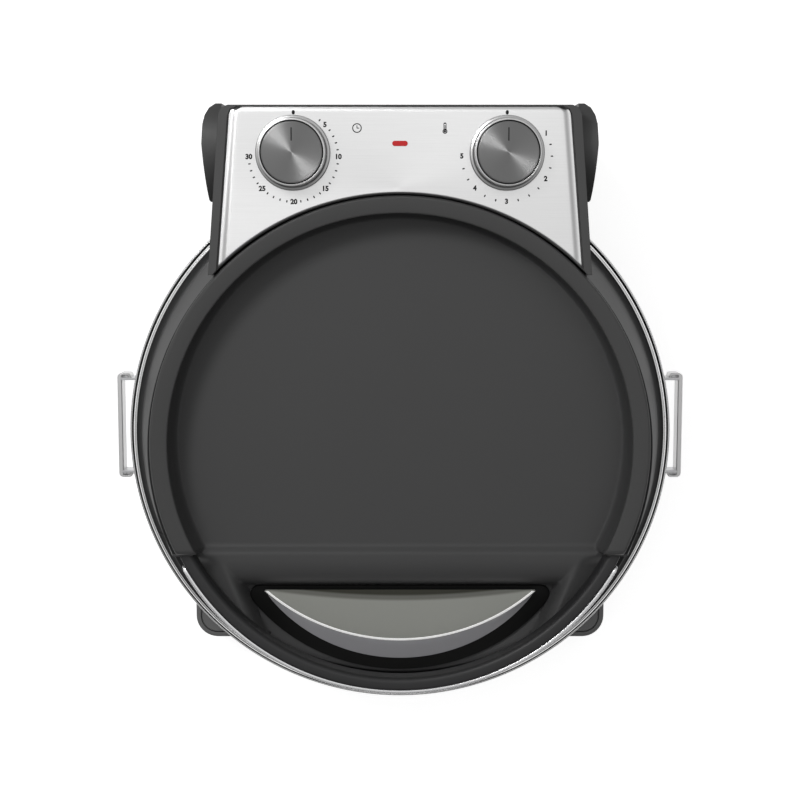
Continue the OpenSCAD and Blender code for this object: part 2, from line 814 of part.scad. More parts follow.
module panel_plan(margin = 0) {
    half = panel_half + margin;
    front = panel_front_half + margin;
    rear = panel_rear_y + margin;
    difference() {
        polygon([[6 - half, rear], [1.7 - half, rear - 1.7], [-half, rear - 6], [-front, housing_front_y],
                 [front, housing_front_y], [half, rear - 6], [half - 1.7, rear - 1.7], [half - 6, rear]]);
        circle(r = panel_arc_r - margin, $fn = 128);
    }
}

// Space taken by the round part of the lid
module drum_room(gap) {
    lathe([[0, 0], [trim_r + gap, 0], [trim_r + gap, housing_z - 0.4], [drum_foot_r + gap - 0.03, housing_z - 0.39],
           [drum_top_r + gap, flange_z], [housing_arc_r + gap - seat, flange_z + 0.1], [housing_arc_r + gap - seat, 240], [0, 240]]);
}

module boss_places() {
    both_sides() {
        translate([92, rim_r - 25, 0]) children();
        translate([98, rear_y - 9, 0]) children();
        translate([34, rear_y - 9, 0]) children();
    }
}

module mount_screw_places() {
    for (a = [-22, 0, 22]) {
        rotate([0, 0, a]) translate([0, drum_foot_r - 8, flange_z - 26]) rotate([-90, 0, 0]) children();
    }
}

// Hollow of the housing, open downwards
module housing_room() {
    difference() {
        intersection() {
            translate([0, 0, housing_z - 1]) linear_extrude(housing_top_z - 4.5 - housing_z + 1) housing_plan(-wall);
            union() {
                translate([-body_x + wall, 50, 0]) cube([2 * (body_x - wall), 250, 200]);
                translate([-far, 50, 0]) cube([2 * far, cheek_y - wall - 50, 200]);
            }
            union() {
                translate([-far, 50, housing_z - 2]) cube([2 * far, hinge_y - 50, 200]);
                translate([-far, 50, hinge_z]) cube([2 * far, 250, 200]);
                translate([-far, hinge_y, hinge_z]) rotate([0, 90, 0]) cylinder(h = 2 * far, r = lower_swing_r - wall);
            }
        }
        drum_room(wall + seat);
    }
}

module control_housing() {
    color("dimgray") difference() {
        union() {
            difference() {
                union() {
                    translate([0, 0, housing_top_z - 9]) linear_extrude(9) housing_plan();
                    intersection() {
                        translate([0, 0, housing_z]) linear_extrude(housing_top_z - housing_z) housing_plan();
                        union() {
                            translate([-body_x, 50, 0]) cube([2 * body_x, 250, 200]);
                            translate([-far, 50, 0]) cube([2 * far, cheek_y - 50, 200]);
                        }
                        union() {
                            translate([-far, 50, housing_z]) cube([2 * far, hinge_y - 50, 200]);
                            translate([-far, 50, hinge_z]) cube([2 * far, 250, 200]);
                            translate([-far, hinge_y, hinge_z]) rotate([0, 90, 0]) cylinder(h = 2 * far, r = lower_swing_r);
                        }
                    }
                }
                housing_room();
            }
            intersection() {
                translate([0, 0, housing_z + wall + seat]) boss_places() cylinder(h = housing_top_z - 4 - housing_z - wall - seat, r = 4.4, $fn = 32);
                union() {
                    translate([-far, 50, 0]) cube([2 * far, hinge_y - 50, 200]);
                    translate([-far, 50, hinge_z - 22]) cube([2 * far, 250, 200]);
                }
            }
        }
        drum_room(seat);
        translate([0, 0, panel_z - seat]) linear_extrude(10) panel_plan(0.7);
        for (x = [-knob_x, knob_x]) {
            translate([x, knob_y, housing_top_z - 10]) cylinder(h = 20, r = 5.4, $fn = 32);
        }
        translate([0, lamp_y, housing_top_z - 10]) cylinder(h = 20, r = 3.4, $fn = 32);
        both_sides() translate([100, hinge_y, hinge_z]) rotate([0, 90, 0]) cylinder(h = 20, r = 7 + run_gap, $fn = 48);
        both_sides() translate([body_x, hinge_y, hinge_z]) rotate([0, 90, 0]) cylinder(h = 20, r = cover_r + 1.5);
        boss_places() translate([0, 0, housing_z - 1]) cylinder(h = 50, r = 1.5, $fn = 24);
        mount_screw_places() cylinder(h = 60, r = 2.1, center = true, $fn = 24);
        element_tail_places() cylinder(h = 60, r = tube_r + 1, center = true, $fn = 32);
        translate([knob_x, rim_r - 40, bulb_z]) rotate([-90, 0, 0]) cylinder(h = 40, r = 2.5, $fn = 24);
    }
}

module housing_cover() {
    color("dimgray") difference() {
        intersection() {
            translate([0, 0, housing_z]) linear_extrude(wall - 0.2) housing_plan(-wall - seat);
            union() {
                translate([-body_x + wall + seat, 50, 0]) cube([2 * (body_x - wall - seat), hinge_y - 50, 200]);
                translate([-far, 50, 0]) cube([2 * far, cheek_y - wall - seat - 50, 200]);
            }
        }
        drum_room(wall + 2 * seat);
        boss_places() translate([0, 0, housing_z - 1]) cylinder(h = 10, r = 2, $fn = 24);
    }
}

module housing_cover_screws() {
    color("silver") both_sides() translate([92, rim_r - 25, housing_z - seat - 2]) pan_screw(1.4, 12, 3, 2);
}

module housing_mount_screws() {
    color("silver") mount_screw_places() translate([0, 0, -6.2]) pan_screw(2, 15, 4, 2.6);
}

module control_panel() {
    color("lightgray") difference() {
        translate([0, 0, panel_z]) linear_extrude(panel_t) panel_plan();
        for (x = [-knob_x, knob_x]) {
            translate([x, knob_y, panel_z - 1]) cylinder(h = 5, r = 4.5, $fn = 32);
        }
        translate([0, lamp_y, panel_z - 1]) lamp_pill(6, 0.1);
    }
}

// Flat pill shape of the indicator
module lamp_pill(h, gap) {
    half = (lamp_l - lamp_w) / 2;
    for (x = [-half, half]) {
        translate([x, 0, 0]) cylinder(h = h, r = lamp_w / 2 + gap, $fn = 32);
    }
    translate([-half, -lamp_w / 2 - gap, 0]) cube([2 * half, lamp_w + 2 * gap, h]);
}

module hinge_bush() {
    color("goldenrod") translate([body_x - 8.5, hinge_y, hinge_z]) rotate([0, 90, 0]) difference() {
        union() {
            cylinder(h = 8.5, r = 7, $fn = 48);
            cylinder(h = 5.2, r = 10, $fn = 48);
        }
        translate([0, 0, -1]) cylinder(h = 12, r = pin_r + run_gap, $fn = 48);
    }
}

module hinge_bush_left() {
    mirror([1, 0, 0]) hinge_bush();
}

module hinge_bush_right() {
    hinge_bush();
}

module timer_body() {
    top = housing_top_z - 4.5 - seat;
    color("ivory") translate([-knob_x, knob_y, 0]) difference() {
        union() {
            translate([-18, -18, top - 28]) cube([36, 36, 28]);
            translate([0, 0, top - 1]) cylinder(h = 4, r = 5, $fn = 32);
        }
        translate([0, 0, top - 20]) cylinder(h = 40, r = shaft_r + run_gap, $fn = 32);
    }
}

module thermostat_body() {
    top = housing_top_z - 4.5 - seat;
    color("ivory") translate([knob_x, knob_y, 0]) difference() {
        union() {
            translate([0, 0, top - 22]) cylinder(h = 22, r = 17, $fn = 64);
            translate([-20, -6, top - 1.5]) cube([40, 12, 1.5]);
            translate([0, 0, top - 1]) cylinder(h = 4, r = 5, $fn = 32);
        }
        translate([0, 0, top - 18]) cylinder(h = 40, r = shaft_r + run_gap, $fn = 32);
    }
}

module thermostat_bulb() {
    z = bulb_z;
    turn_y = knob_y - 5.5;
    top = housing_top_z - 4.5 - seat - 22 - seat;
    color("peru") {
        translate([knob_x, 60, z]) rotate([-90, 0, 0]) cylinder(h = 45, r = 2.8, $fn = 32);
        translate([knob_x, 104, z]) rotate([-90, 0, 0]) cylinder(h = turn_y - 104, r = 1.2, $fn = 24);
        translate([knob_x, turn_y, z]) sphere(r = 1.2, $fn = 24);
        translate([knob_x, turn_y, z]) cylinder(h = top - z, r = 1.2, $fn = 24);
    }
}

module indicator_lens() {
    color("red") translate([0, lamp_y, panel_z]) {
        lamp_pill(panel_t + 0.8, 0);
    }
}

module indicator_lamp() {
    color("orange") translate([0, lamp_y, panel_z - seat - 14]) cylinder(h = 14 - seat, r = 3, $fn = 32);
}

// Flared knob with a bore for its shaft
module knob_shape(x) {
    waist_r = cap_r + 0.9;
    color("silver") translate([x, knob_y, 0]) difference() {
        lathe([[0, knob_z], [skirt_r - 0.4, knob_z], [skirt_r, knob_z + 0.5], [skirt_r, knob_z + 1.6],
               [skirt_r - 0.8, knob_z + 2.6], [waist_r + 0.9, knob_z + 4.4], [waist_r, knob_z + 7],
               [waist_r, knob_top_z - 0.8], [waist_r - 0.5, knob_top_z - 0.2], [cap_r + 0.1, knob_top_z - 0.2],
               [cap_r + 0.1, knob_top_z - 1.6], [0, knob_top_z - 1.6]]);
        translate([0, 0, knob_z - 1]) cylinder(h = knob_top_z - knob_z - 3, r = shaft_r, $fn = 32);
    }
}

module cap_shape(x) {
    color("lightgray") translate([x, knob_y, knob_top_z - 1.5]) cylinder(h = 1.5, r = cap_r, $fn = 96);
}

module shaft_shape(x) {
    color("gray") translate([x, knob_y, housing_top_z - 20]) cylinder(h = knob_top_z - 4.2 - housing_top_z + 20, r = shaft_r - 0.02, $fn = 32);
}

module timer_knob() {
    knob_shape(-knob_x);
}

module timer_knob_cap() {
    cap_shape(-knob_x);
}

module timer_shaft() {
    shaft_shape(-knob_x);
}

module thermostat_knob() {
    knob_shape(knob_x);
}

module thermostat_knob_cap() {
    cap_shape(knob_x);
}

module thermostat_shaft() {
    shaft_shape(knob_x);
}

module placed() {
    translate([0, shift_y, 0]) children();
}

placed() base_shell();
placed() base_rim_ring();
placed() bottom_plate();
placed() bottom_plate_screws();
placed() leg_front_left();
placed() leg_front_right();
placed() leg_rear_left();
placed() leg_rear_right();
placed() foot_pads();
placed() leg_screws();
placed() lower_reflector();
placed() lower_heating_element();
placed() lower_element_clips();
placed() thermal_cutout();
placed() terminal_block();
placed() stone_support();
placed() baking_stone();
placed() rear_bridge();
placed() hinge_cover_left();
placed() hinge_cover_right();
placed() hinge_pin_left();
placed() hinge_pin_right();
placed() cord_gland();
placed() side_handle_left();
placed() side_handle_right();
placed() handle_bracket_left();
placed() handle_bracket_right();
placed() handle_rivets();
placed() lid_shell();
placed() lid_trim_ring();
placed() crown_ring();
placed() lid_reflector();
placed() upper_heating_element();
placed() upper_element_clips();
placed() window_glass();
placed() window_gasket();
placed() window_retainer();
placed() retainer_screws();
placed() front_handle();
placed() handle_trim_strip();
placed() handle_screws();
placed() control_housing();
placed() housing_cover();
placed() housing_cover_screws();
placed() housing_mount_screws();
placed() control_panel();
placed() hinge_bush_left();
placed() hinge_bush_right();
placed() timer_body();
placed() thermostat_body();
placed() thermostat_bulb();
placed() indicator_lens();
placed() indicator_lamp();
placed() timer_knob();
placed() timer_knob_cap();
placed() timer_shaft();
placed() thermostat_knob();
placed() thermostat_knob_cap();
placed() thermostat_shaft();
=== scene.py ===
import json
import math
import bmesh
import bpy
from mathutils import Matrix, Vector


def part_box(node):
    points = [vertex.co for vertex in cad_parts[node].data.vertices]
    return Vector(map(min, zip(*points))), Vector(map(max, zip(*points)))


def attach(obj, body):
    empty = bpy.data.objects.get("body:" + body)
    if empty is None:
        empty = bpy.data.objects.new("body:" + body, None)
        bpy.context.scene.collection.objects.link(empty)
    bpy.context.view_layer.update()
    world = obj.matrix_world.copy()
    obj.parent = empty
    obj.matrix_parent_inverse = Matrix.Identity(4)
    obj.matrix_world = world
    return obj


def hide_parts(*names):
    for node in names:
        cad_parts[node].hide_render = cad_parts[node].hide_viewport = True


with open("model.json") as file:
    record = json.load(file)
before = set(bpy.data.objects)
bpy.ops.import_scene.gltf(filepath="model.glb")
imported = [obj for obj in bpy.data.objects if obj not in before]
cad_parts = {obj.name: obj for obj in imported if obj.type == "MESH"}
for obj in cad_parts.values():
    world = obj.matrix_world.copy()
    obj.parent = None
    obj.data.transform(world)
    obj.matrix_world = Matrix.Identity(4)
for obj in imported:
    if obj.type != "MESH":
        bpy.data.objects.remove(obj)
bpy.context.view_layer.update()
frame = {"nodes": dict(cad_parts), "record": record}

scene = bpy.context.scene
nodes = frame["nodes"]
mm = 0.001
rimLow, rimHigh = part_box("base_rim_ring")
rimY = (rimLow.y + rimHigh.y) / 2  # the middle of the round rim in the shared frame
print("stage: frame loaded")


# small helpers; all lengths are in millimetres from the middle of the rim
def at(x, y, z):
    return Vector((x * mm, y * mm + rimY, z * mm))


def smooth(t):
    t = max(0.0, min(1.0, t))
    return t * t * (3 - 2 * t)


def mix(a, b, t):
    return a + (b - a) * t


def arcDrop(t):
    # how far a quarter circle has fallen at the share t of its run
    return 1 - math.sqrt(max(0.0, 1 - t * t))


def rounded(corners, steps=5):
    # each corner of a closed outline is x, y and the radius that rounds it
    out = []
    for i, corner in enumerate(corners):
        a, b, c = (Vector(corners[k % len(corners)][:2]) for k in (i - 1, i, i + 1))
        r = corner[2]
        u, v = (a - b), (c - b)
        if r <= 0 or u.length < 1e-6 or v.length < 1e-6:
            out.append(tuple(b))
            continue
        half = u.angle(v) / 2
        cut = min(r / math.tan(half), 0.49 * u.length, 0.49 * v.length)
        real = cut * math.tan(half)
        u.normalize()
        v.normalize()
        middle = b + (u + v).normalized() * (real / math.sin(half))
        start, end = b + u * cut - middle, b + v * cut - middle
        turn = start.angle(end)
        for k in range(steps + 1):
            t = k / steps
            w = (start * math.sin((1 - t) * turn) + end * math.sin(t * turn)) / math.sin(turn)
            out.append(tuple(middle + w))
    return out


def piece(name, verts, faces, body, look, slot, stands=(), sharp=35, weld=True, origin=None):
    mesh = bpy.data.meshes.new(name)
    middle = at(*origin) if origin else Vector((0, 0, 0))
    mesh.from_pydata([at(*v) - middle for v in verts], [], faces)
    work = bmesh.new()
    work.from_mesh(mesh)
    if weld:
        bmesh.ops.remove_doubles(work, verts=work.verts, dist=2e-6)
    bmesh.ops.recalc_face_normals(work, faces=work.faces)
    work.to_mesh(mesh)
    work.free()
    mesh.shade_smooth()
    mesh.set_sharp_from_angle(angle=math.radians(sharp))
    mesh.materials.append(look)
    obj = bpy.data.objects.new(name, mesh)
    obj.location = middle
    scene.collection.objects.link(obj)
    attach(obj, body)
    if stands:
        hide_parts(*stands)
    return obj


def faceUp(obj):
    # an open skin shows its upper side
    if sum(p.normal.z * p.area for p in obj.data.polygons) < 0:
        obj.data.flip_normals()


def thicken(obj, thick):
    sheet = obj.modifiers.new("thickness", "SOLIDIFY")
    sheet.thickness = thick * mm
    sheet.offset = -1


def grid(rows, closedAround=False, closedAlong=False):
    count, width = len(rows), len(rows[0])
    verts = [p for row in rows for p in row]
    faces = []
    for i in range(count if closedAlong else count - 1):
        for j in range(width if closedAround else width - 1):
            a, b = i * width, ((i + 1) % count) * width
            k = (j + 1) % width
            faces.append((a + j, a + k, b + k, b + j))
    return verts, faces


def turned(outline, x=0, y=0, steps=192):
    # a closed outline of radius and height, turned full circle about x, y
    rows = []
    for i in range(steps):
        a = math.radians(mix(0, 360, i / steps))
        rows.append([(x + r * math.cos(a), y + r * math.sin(a), z) for r, z in outline])
    return grid(rows, closedAround=True, closedAlong=True)


def stack(loops):
    # a skin over closed loops, with a lid on the first and the last
    verts, faces = grid(loops, closedAround=True)
    width = len(loops[0])
    faces.append(tuple(range(width)))
    faces.append(tuple(reversed(range((len(loops) - 1) * width, len(loops) * width))))
    return verts, faces


def inset(loop, d):
    out = []
    n = len(loop)
    for i in range(n):
        a, b, c = Vector(loop[i - 1]), Vector(loop[i]), Vector(loop[(i + 1) % n])
        u, v = (b - a), (c - b)
        u = u.normalized() if u.length > 1e-9 else v.normalized()
        v = v.normalized() if v.length > 1e-9 else u
        m = Vector((-(u.y + v.y), u.x + v.x))
        if m.length < 1e-9:
            m = Vector((-u.y, u.x))
        m.normalize()
        k = max(0.4, m.dot(Vector((-u.y, u.x))))
        out.append(tuple(b + m * (d / k)))
    return out


def counterClockwise(loop):
    area = sum(loop[i - 1][0] * loop[i][1] - loop[i][0] * loop[i - 1][1] for i in range(len(loop)))
    return loop if area > 0 else list(reversed(loop))


def plate(loop, levels):
    # the loop drawn in by a distance at each level
    loop = counterClockwise(loop)
    return stack([[(x, y, z) for x, y in inset(loop, d)] for d, z in levels])


def mirrored(verts, faces):
    return [(-x, y, z) for x, y, z in verts], [tuple(reversed(f)) for f in faces]


def joined(*parts):
    verts, faces = [], []
    for v, f in parts:
        base = len(verts)
        verts += v
        faces += [tuple(i + base for i in face) for face in f]
    return verts, faces


def arcPoints(x, y, r, a0, a1, n):
    angles = [math.radians(mix(a0, a1, i / n)) for i in range(n + 1)]
    return [(x + r * math.cos(a), y + r * math.sin(a)) for a in angles]


def crossCut(verts, faces, y, keep=None, fill=False):
    # cuts across at y and keeps the front or the rear, or both with a new edge loop between them
    mesh = bpy.data.meshes.new("cut")
    mesh.from_pydata([Vector(v) for v in verts], [], faces)
    work = bmesh.new()
    work.from_mesh(mesh)
    if keep:
        bmesh.ops.remove_doubles(work, verts=work.verts, dist=1e-4)
    everything = list(work.verts) + list(work.edges) + list(work.faces)
    done = bmesh.ops.bisect_plane(work, geom=everything, plane_co=(0, y, 0), plane_no=(0, 1, 0),
                                  clear_outer=keep == "front", clear_inner=keep == "rear")
    if fill:
        edges = [e for e in done["geom_cut"] if isinstance(e, bmesh.types.BMEdge)]
        bmesh.ops.edgeloop_fill(work, edges=edges)
    work.verts.index_update()
    out = [tuple(v.co) for v in work.verts], [tuple(v.index for v in f.verts) for f in work.faces]
    work.free()
    bpy.data.meshes.remove(mesh)
    return out


# shader groups; put makes a node and link joins two sockets
def newGroup(name, inputs, outputs):
    # inputs by name with their usual value, outputs by name with their kind
    group = bpy.data.node_groups.new(name, "ShaderNodeTree")
    kinds = {1: "NodeSocketFloat", 3: "NodeSocketVector", 4: "NodeSocketColor"}
    for label, value in inputs.items():
        kind = kinds[len(value) if isinstance(value, tuple) else 1]
        group.interface.new_socket(name=label, in_out="INPUT", socket_type=kind).default_value = value
    for label, kind in outputs.items():
        group.interface.new_socket(name=label, in_out="OUTPUT", socket_type="NodeSocket" + kind)
    put = group.nodes.new
    return group, put("NodeGroupInput"), put("NodeGroupOutput"), put, group.links.new


def mathNode(put, link, kind, a, b=None, clamp=False):
    node = put("ShaderNodeMath")
    node.operation = kind
    node.use_clamp = clamp
    for i, v in enumerate((a, b)):
        if v is None:
            continue
        if isinstance(v, (int, float)):
            node.inputs[i].default_value = v
        else:
            link(v, node.inputs[i])
    return node.outputs[0]


def vectorNode(put, link, kind, first):
    node = put("ShaderNodeVectorMath")
    node.operation = kind
    link(first, node.inputs[0])
    return node


def noiseNode(put, detail):
    noise = put("ShaderNodeTexNoise")
    noise.inputs["Detail"].default_value = detail
    return noise


def softEdge(put, link, radius, samples):
    edge = put("ShaderNodeBevel")
    edge.samples = samples
    link(radius, edge.inputs["Radius"])
    return edge.outputs["Normal"]


def bumpNode(put, link, height, strength, distance, normal=None):
    bump = put("ShaderNodeBump")
    bump.inputs["Distance"].default_value = distance
    link(strength, bump.inputs["Strength"])
    link(height, bump.inputs["Height"])
    if normal is not None:
        link(normal, bump.inputs["Normal"])
    return bump.outputs["Normal"]


def softStep(put, link, value, low, high, lowest=0.0):
    # a smooth rise from the lowest value to 1
    node = put("ShaderNodeMapRange")
    node.interpolation_type = "SMOOTHSTEP"
    node.inputs["From Min"].default_value = low
    node.inputs["From Max"].default_value = high
    node.inputs["To Min"].default_value = lowest
    link(value, node.inputs["Value"])
    return node.outputs[0]


def blendColor(put, link, share, first, second):
    node = put("ShaderNodeMix")
    node.data_type = "RGBA"
    for socket, place in ((share, 0), (first, 6), (second, 7)):  # the sockets of the share and the colours
        link(socket, node.inputs[place])
    return node.outputs[2]


def shadeColor(put, link, color, centred, contrast):
    # the colour grows lighter and darker with a noise centred on 0
    lift = mathNode(put, link, "ADD", mathNode(put, link, "MULTIPLY", centred, contrast), 1.0)
    scaled = vectorNode(put, link, "SCALE", color)
    link(lift, scaled.inputs["Scale"])
    return scaled.outputs[0]


def makeGrain():
    # a fine grain on faces and softly rounded edges
    group, given, result, put, link = newGroup(
        "grainEffect", {"Scale": 900.0, "Depth": 0.02, "Edge": 0.0006}, {"Normal": "Vector"})
    noise = noiseNode(put, 3)
    link(put("ShaderNodeTexCoord").outputs["Object"], noise.inputs["Vector"])
    link(given.outputs["Scale"], noise.inputs["Scale"])
    edge = softEdge(put, link, given.outputs["Edge"], 6)
    normal = bumpNode(put, link, noise.outputs["Fac"], given.outputs["Depth"], 0.0004, edge)
    link(normal, result.inputs["Normal"])
    return group


def makeTone():
    # colour and roughness drift a little over the surface
    group, given, result, put, link = newGroup(
        "toneEffect",
        {"Color": (0.5, 0.5, 0.5, 1), "Spread": 0.1, "Scale": 12.0, "Roughness": 0.5, "Wear": 0.08},
        {"Color": "Color", "Roughness": "Float"})
    noise = noiseNode(put, 4)
    link(put("ShaderNodeTexCoord").outputs["Object"], noise.inputs["Vector"])
    link(given.outputs["Scale"], noise.inputs["Scale"])
    centred = mathNode(put, link, "SUBTRACT", noise.outputs["Fac"], 0.5)
    color = shadeColor(put, link, given.outputs["Color"], centred, given.outputs["Spread"])
    link(color, result.inputs["Color"])
    worn = mathNode(put, link, "MULTIPLY", centred, given.outputs["Wear"])
    link(mathNode(put, link, "ADD", given.outputs["Roughness"], worn, clamp=True), result.inputs["Roughness"])
    return group


def makeBrush():
    # straight lines, drawn out along the axis with the smallest stretch
    group, given, result, put, link = newGroup(
        "brushEffect",
        {"Stretch": (12.0, 900.0, 900.0), "Depth": 0.1, "Contrast": 0.1, "Color": (0.7, 0.7, 0.7, 1),
         "Edge": 0.0004},
        {"Color": "Color", "Normal": "Vector"})
    stretched = vectorNode(put, link, "MULTIPLY", put("ShaderNodeTexCoord").outputs["Object"])
    link(given.outputs["Stretch"], stretched.inputs[1])
    noise = noiseNode(put, 4)
    noise.inputs["Scale"].default_value = 1.0
    link(stretched.outputs[0], noise.inputs["Vector"])
    edge = softEdge(put, link, given.outputs["Edge"], 4)
    normal = bumpNode(put, link, noise.outputs["Fac"], given.outputs["Depth"], 0.0003, edge)
    centred = mathNode(put, link, "SUBTRACT", noise.outputs["Fac"], 0.5)
    color = shadeColor(put, link, given.outputs["Color"], centred, given.outputs["Contrast"])
    link(color, result.inputs["Color"])
    link(normal, result.inputs["Normal"])
    return group


def makeSpun():
    # fine rings round the piece's own middle
    group, given, result, put, link = newGroup(
        "spunEffect", {"Rings": 4000.0, "Depth": 0.1, "Color": (0.7, 0.7, 0.7, 1), "Contrast": 0.1},
        {"Color": "Color", "Normal": "Vector"})
    level = vectorNode(put, link, "MULTIPLY", put("ShaderNodeTexCoord").outputs["Object"])
    level.inputs[1].default_value = (1, 1, 0)
    length = vectorNode(put, link, "LENGTH", level.outputs[0])
    noise = noiseNode(put, 3)
    noise.noise_dimensions = "1D"
    noise.inputs["Scale"].default_value = 1.0
    link(mathNode(put, link, "MULTIPLY", length.outputs["Value"], given.outputs["Rings"]), noise.inputs["W"])
    normal = bumpNode(put, link, noise.outputs["Fac"], given.outputs["Depth"], 0.0002)
    centred = mathNode(put, link, "SUBTRACT", noise.outputs["Fac"], 0.5)
    color = shadeColor(put, link, given.outputs["Color"], centred, given.outputs["Contrast"])
    link(color, result.inputs["Color"])
    link(normal, result.inputs["Normal"])
    return group


grainEffect = makeGrain()
toneEffect = makeTone()
brushEffect = makeBrush()
spunEffect = makeSpun()


def useGroup(tree, group, values):
    node = tree.nodes.new("ShaderNodeGroup")
    node.node_tree = group
    for label, value in values.items():
        if isinstance(value, bpy.types.NodeSocket):
            tree.links.new(value, node.inputs[label])
        else:
            node.inputs[label].default_value = value
    return node


def newLook(name, metal=0.0, specular=0.5, extra=None):
    look = bpy.data.materials.new(name)
    look.use_nodes = True
    tree = look.node_tree
    shader = tree.nodes["Principled BSDF"]
    shader.inputs["Metallic"].default_value = metal
    shader.inputs["Specular IOR Level"].default_value = specular
    for label, value in (extra or {}).items():
        shader.inputs[label].default_value = value
    return look, tree, shader


def grey(value):
    return (value, value, value)


def glow(color, strength):
    return {"Emission Color": (*color, 1), "Emission Strength": strength}


def paint(name, color, rough, grain=900.0, depth=0.03, edge=0.0006, spread=0.08, specular=0.5,
          metal=0.0, extra=None):
    look, tree, shader = newLook(name, metal, specular, extra)
    tone = useGroup(tree, toneEffect, {"Color": (*color, 1), "Roughness": rough, "Spread": spread})
    bumps = useGroup(tree, grainEffect, {"Scale": grain, "Depth": depth, "Edge": edge})
    tree.links.new(tone.outputs["Color"], shader.inputs["Base Color"])
    tree.links.new(tone.outputs["Roughness"], shader.inputs["Roughness"])
    tree.links.new(bumps.outputs["Normal"], shader.inputs["Normal"])
    return look


def brushed(name, color, rough, stretch, depth, contrast, anisotropic=0.0):
    look, tree, shader = newLook(name, 1.0)
    shader.inputs["Roughness"].default_value = rough
    shader.inputs["Anisotropic"].default_value = anisotropic
    lines = useGroup(tree, brushEffect, {"Stretch": stretch, "Depth": depth, "Contrast": contrast,
                                         "Color": (*color, 1)})
    tree.links.new(lines.outputs["Color"], shader.inputs["Base Color"])
    tree.links.new(lines.outputs["Normal"], shader.inputs["Normal"])
    return look


def spun(name, color, rough, anisotropic):
    look, tree, shader = newLook(name, 1.0)
    shader.inputs["Roughness"].default_value = rough
    shader.inputs["Anisotropic"].default_value = anisotropic
    shader.inputs["Anisotropic Rotation"].default_value = 0.25  # a quarter turn, across the rings
    rings = useGroup(tree, spunEffect, {"Color": (*color, 1), "Depth": 0.06, "Contrast": 0.1})
    tangent = tree.nodes.new("ShaderNodeTangent")
    tangent.direction_type = "RADIAL"
    tangent.axis = "Z"
    tree.links.new(tangent.outputs[0], shader.inputs["Tangent"])
    tree.links.new(rings.outputs["Color"], shader.inputs["Base Color"])
    tree.links.new(rings.outputs["Normal"], shader.inputs["Normal"])
    return look


# paints, plastics and rubber: colour, roughness, then what differs from the usual
lidPaint = paint("lidPaint", (0.079, 0.079, 0.0795), 0.48, depth=0.02, specular=0.2)
# the lid paint again, much darker: painted shade on the drum wall and on the sill under the grip
lidPaintShaded = paint("lidPaintShaded", (0.026, 0.026, 0.0265), 0.5, depth=0.02, specular=0.14)
crownPaint = paint("crownPaint", grey(0.078), 0.48, depth=0.02, specular=0.22)
handlePaint = paint("handlePaint", (0.032, 0.032, 0.033), 0.46, depth=0.03, specular=0.42)
gasketRubber = paint("gasketRubber", (0.005, 0.005, 0.0048), 0.7, grain=1400, depth=0.05, specular=0.25)
housingPlastic = paint("housingPlastic", grey(0.063), 0.45, grain=1600, depth=0.05)
legPlastic = paint("legPlastic", grey(0.19), 0.5, grain=1600, depth=0.06)
bowlPaint = paint("bowlPaint", (0.035, 0.035, 0.036), 0.4)
padRubber = paint("padRubber", grey(0.015), 0.75, depth=0.1)
ceramicLook = paint("ceramicLook", (0.72, 0.70, 0.63), 0.6, depth=0.06)
stoneLook = paint("stoneLook", (0.56, 0.45, 0.32), 0.85, grain=500, depth=0.5, spread=0.25, edge=0.001)
switchPlastic = paint("switchPlastic", (0.62, 0.60, 0.54), 0.5)
elementSheath = paint("elementSheath", (0.06, 0.058, 0.055), 0.55, grain=700, depth=0.2, spread=0.3,
                      metal=0.5)
inkLook = paint("inkLook", (0.010, 0.010, 0.011), 0.6, depth=0.02, edge=0.0, specular=0.2)

# brushed metals: colour, roughness, stretch of the lines on each axis, depth, contrast
panelSteel = brushed("panelSteel", grey(0.84), 0.30, (26.0, 1600.0, 1600.0), 0.10, 0.10, anisotropic=0.3)
trimSteel = brushed("trimSteel", grey(0.66), 0.22, (500.0, 500.0, 2600.0), 0.04, 0.12)
plainSteel = brushed("plainSteel", (0.58, 0.58, 0.59), 0.34, (300.0, 300.0, 1800.0), 0.06, 0.14)
zincLook = brushed("zincLook", (0.62, 0.62, 0.64), 0.3, (900.0, 900.0, 900.0), 0.05, 0.16)
chromeLook = brushed("chromeLook", grey(0.62), 0.28, (700.0, 700.0, 700.0), 0.01, 0.04)
handleChrome = brushed("handleChrome", grey(0.64), 0.34, (300.0, 300.0, 2200.0), 0.04, 0.08)
stripChrome = brushed("stripChrome", (0.92, 0.92, 0.93), 0.26, (300.0, 300.0, 2200.0), 0.03, 0.06)
reflectorSheet = brushed("reflectorSheet", (0.80, 0.80, 0.81), 0.26, (60.0, 1200.0, 1200.0), 0.06, 0.1)
brassLook = brushed("brassLook", (0.72, 0.53, 0.28), 0.34, (900.0, 900.0, 900.0), 0.05, 0.14)
copperLook = brushed("copperLook", (0.72, 0.40, 0.25), 0.3, (900.0, 900.0, 900.0), 0.05, 0.14)

lensRed = paint("lensRed", (0.58, 0.026, 0.028), 0.45, depth=0.02, spread=0.1, specular=0.2,
                extra=glow((0.60, 0.03, 0.03), 0.12))
lampGlow = paint("lampGlow", (0.9, 0.45, 0.25), 0.3, extra=glow((1, 0.4, 0.2), 0.4))

# the pane gets painted shadow, darker in a lens-shaped zone under its straight edge where the pocket wall
# shades it, and painted reflection, a lighter and bluer tone, below the bend
glassToneAndShade = {"rough": 0.25, "color": (0.43, 0.437, 0.402), "shadowColor": (0.058, 0.058, 0.045),
             "band": (0.46, 0.457, 0.478), "edgeY": -105.2, "bow": 0.95, "bendY": -6.2, "bendR": 127.9,
             "blur": 1.2, "deepFrom": 2.5, "deepTo": 4.5, "softShare": 0.6, "deepShare": 0.4}


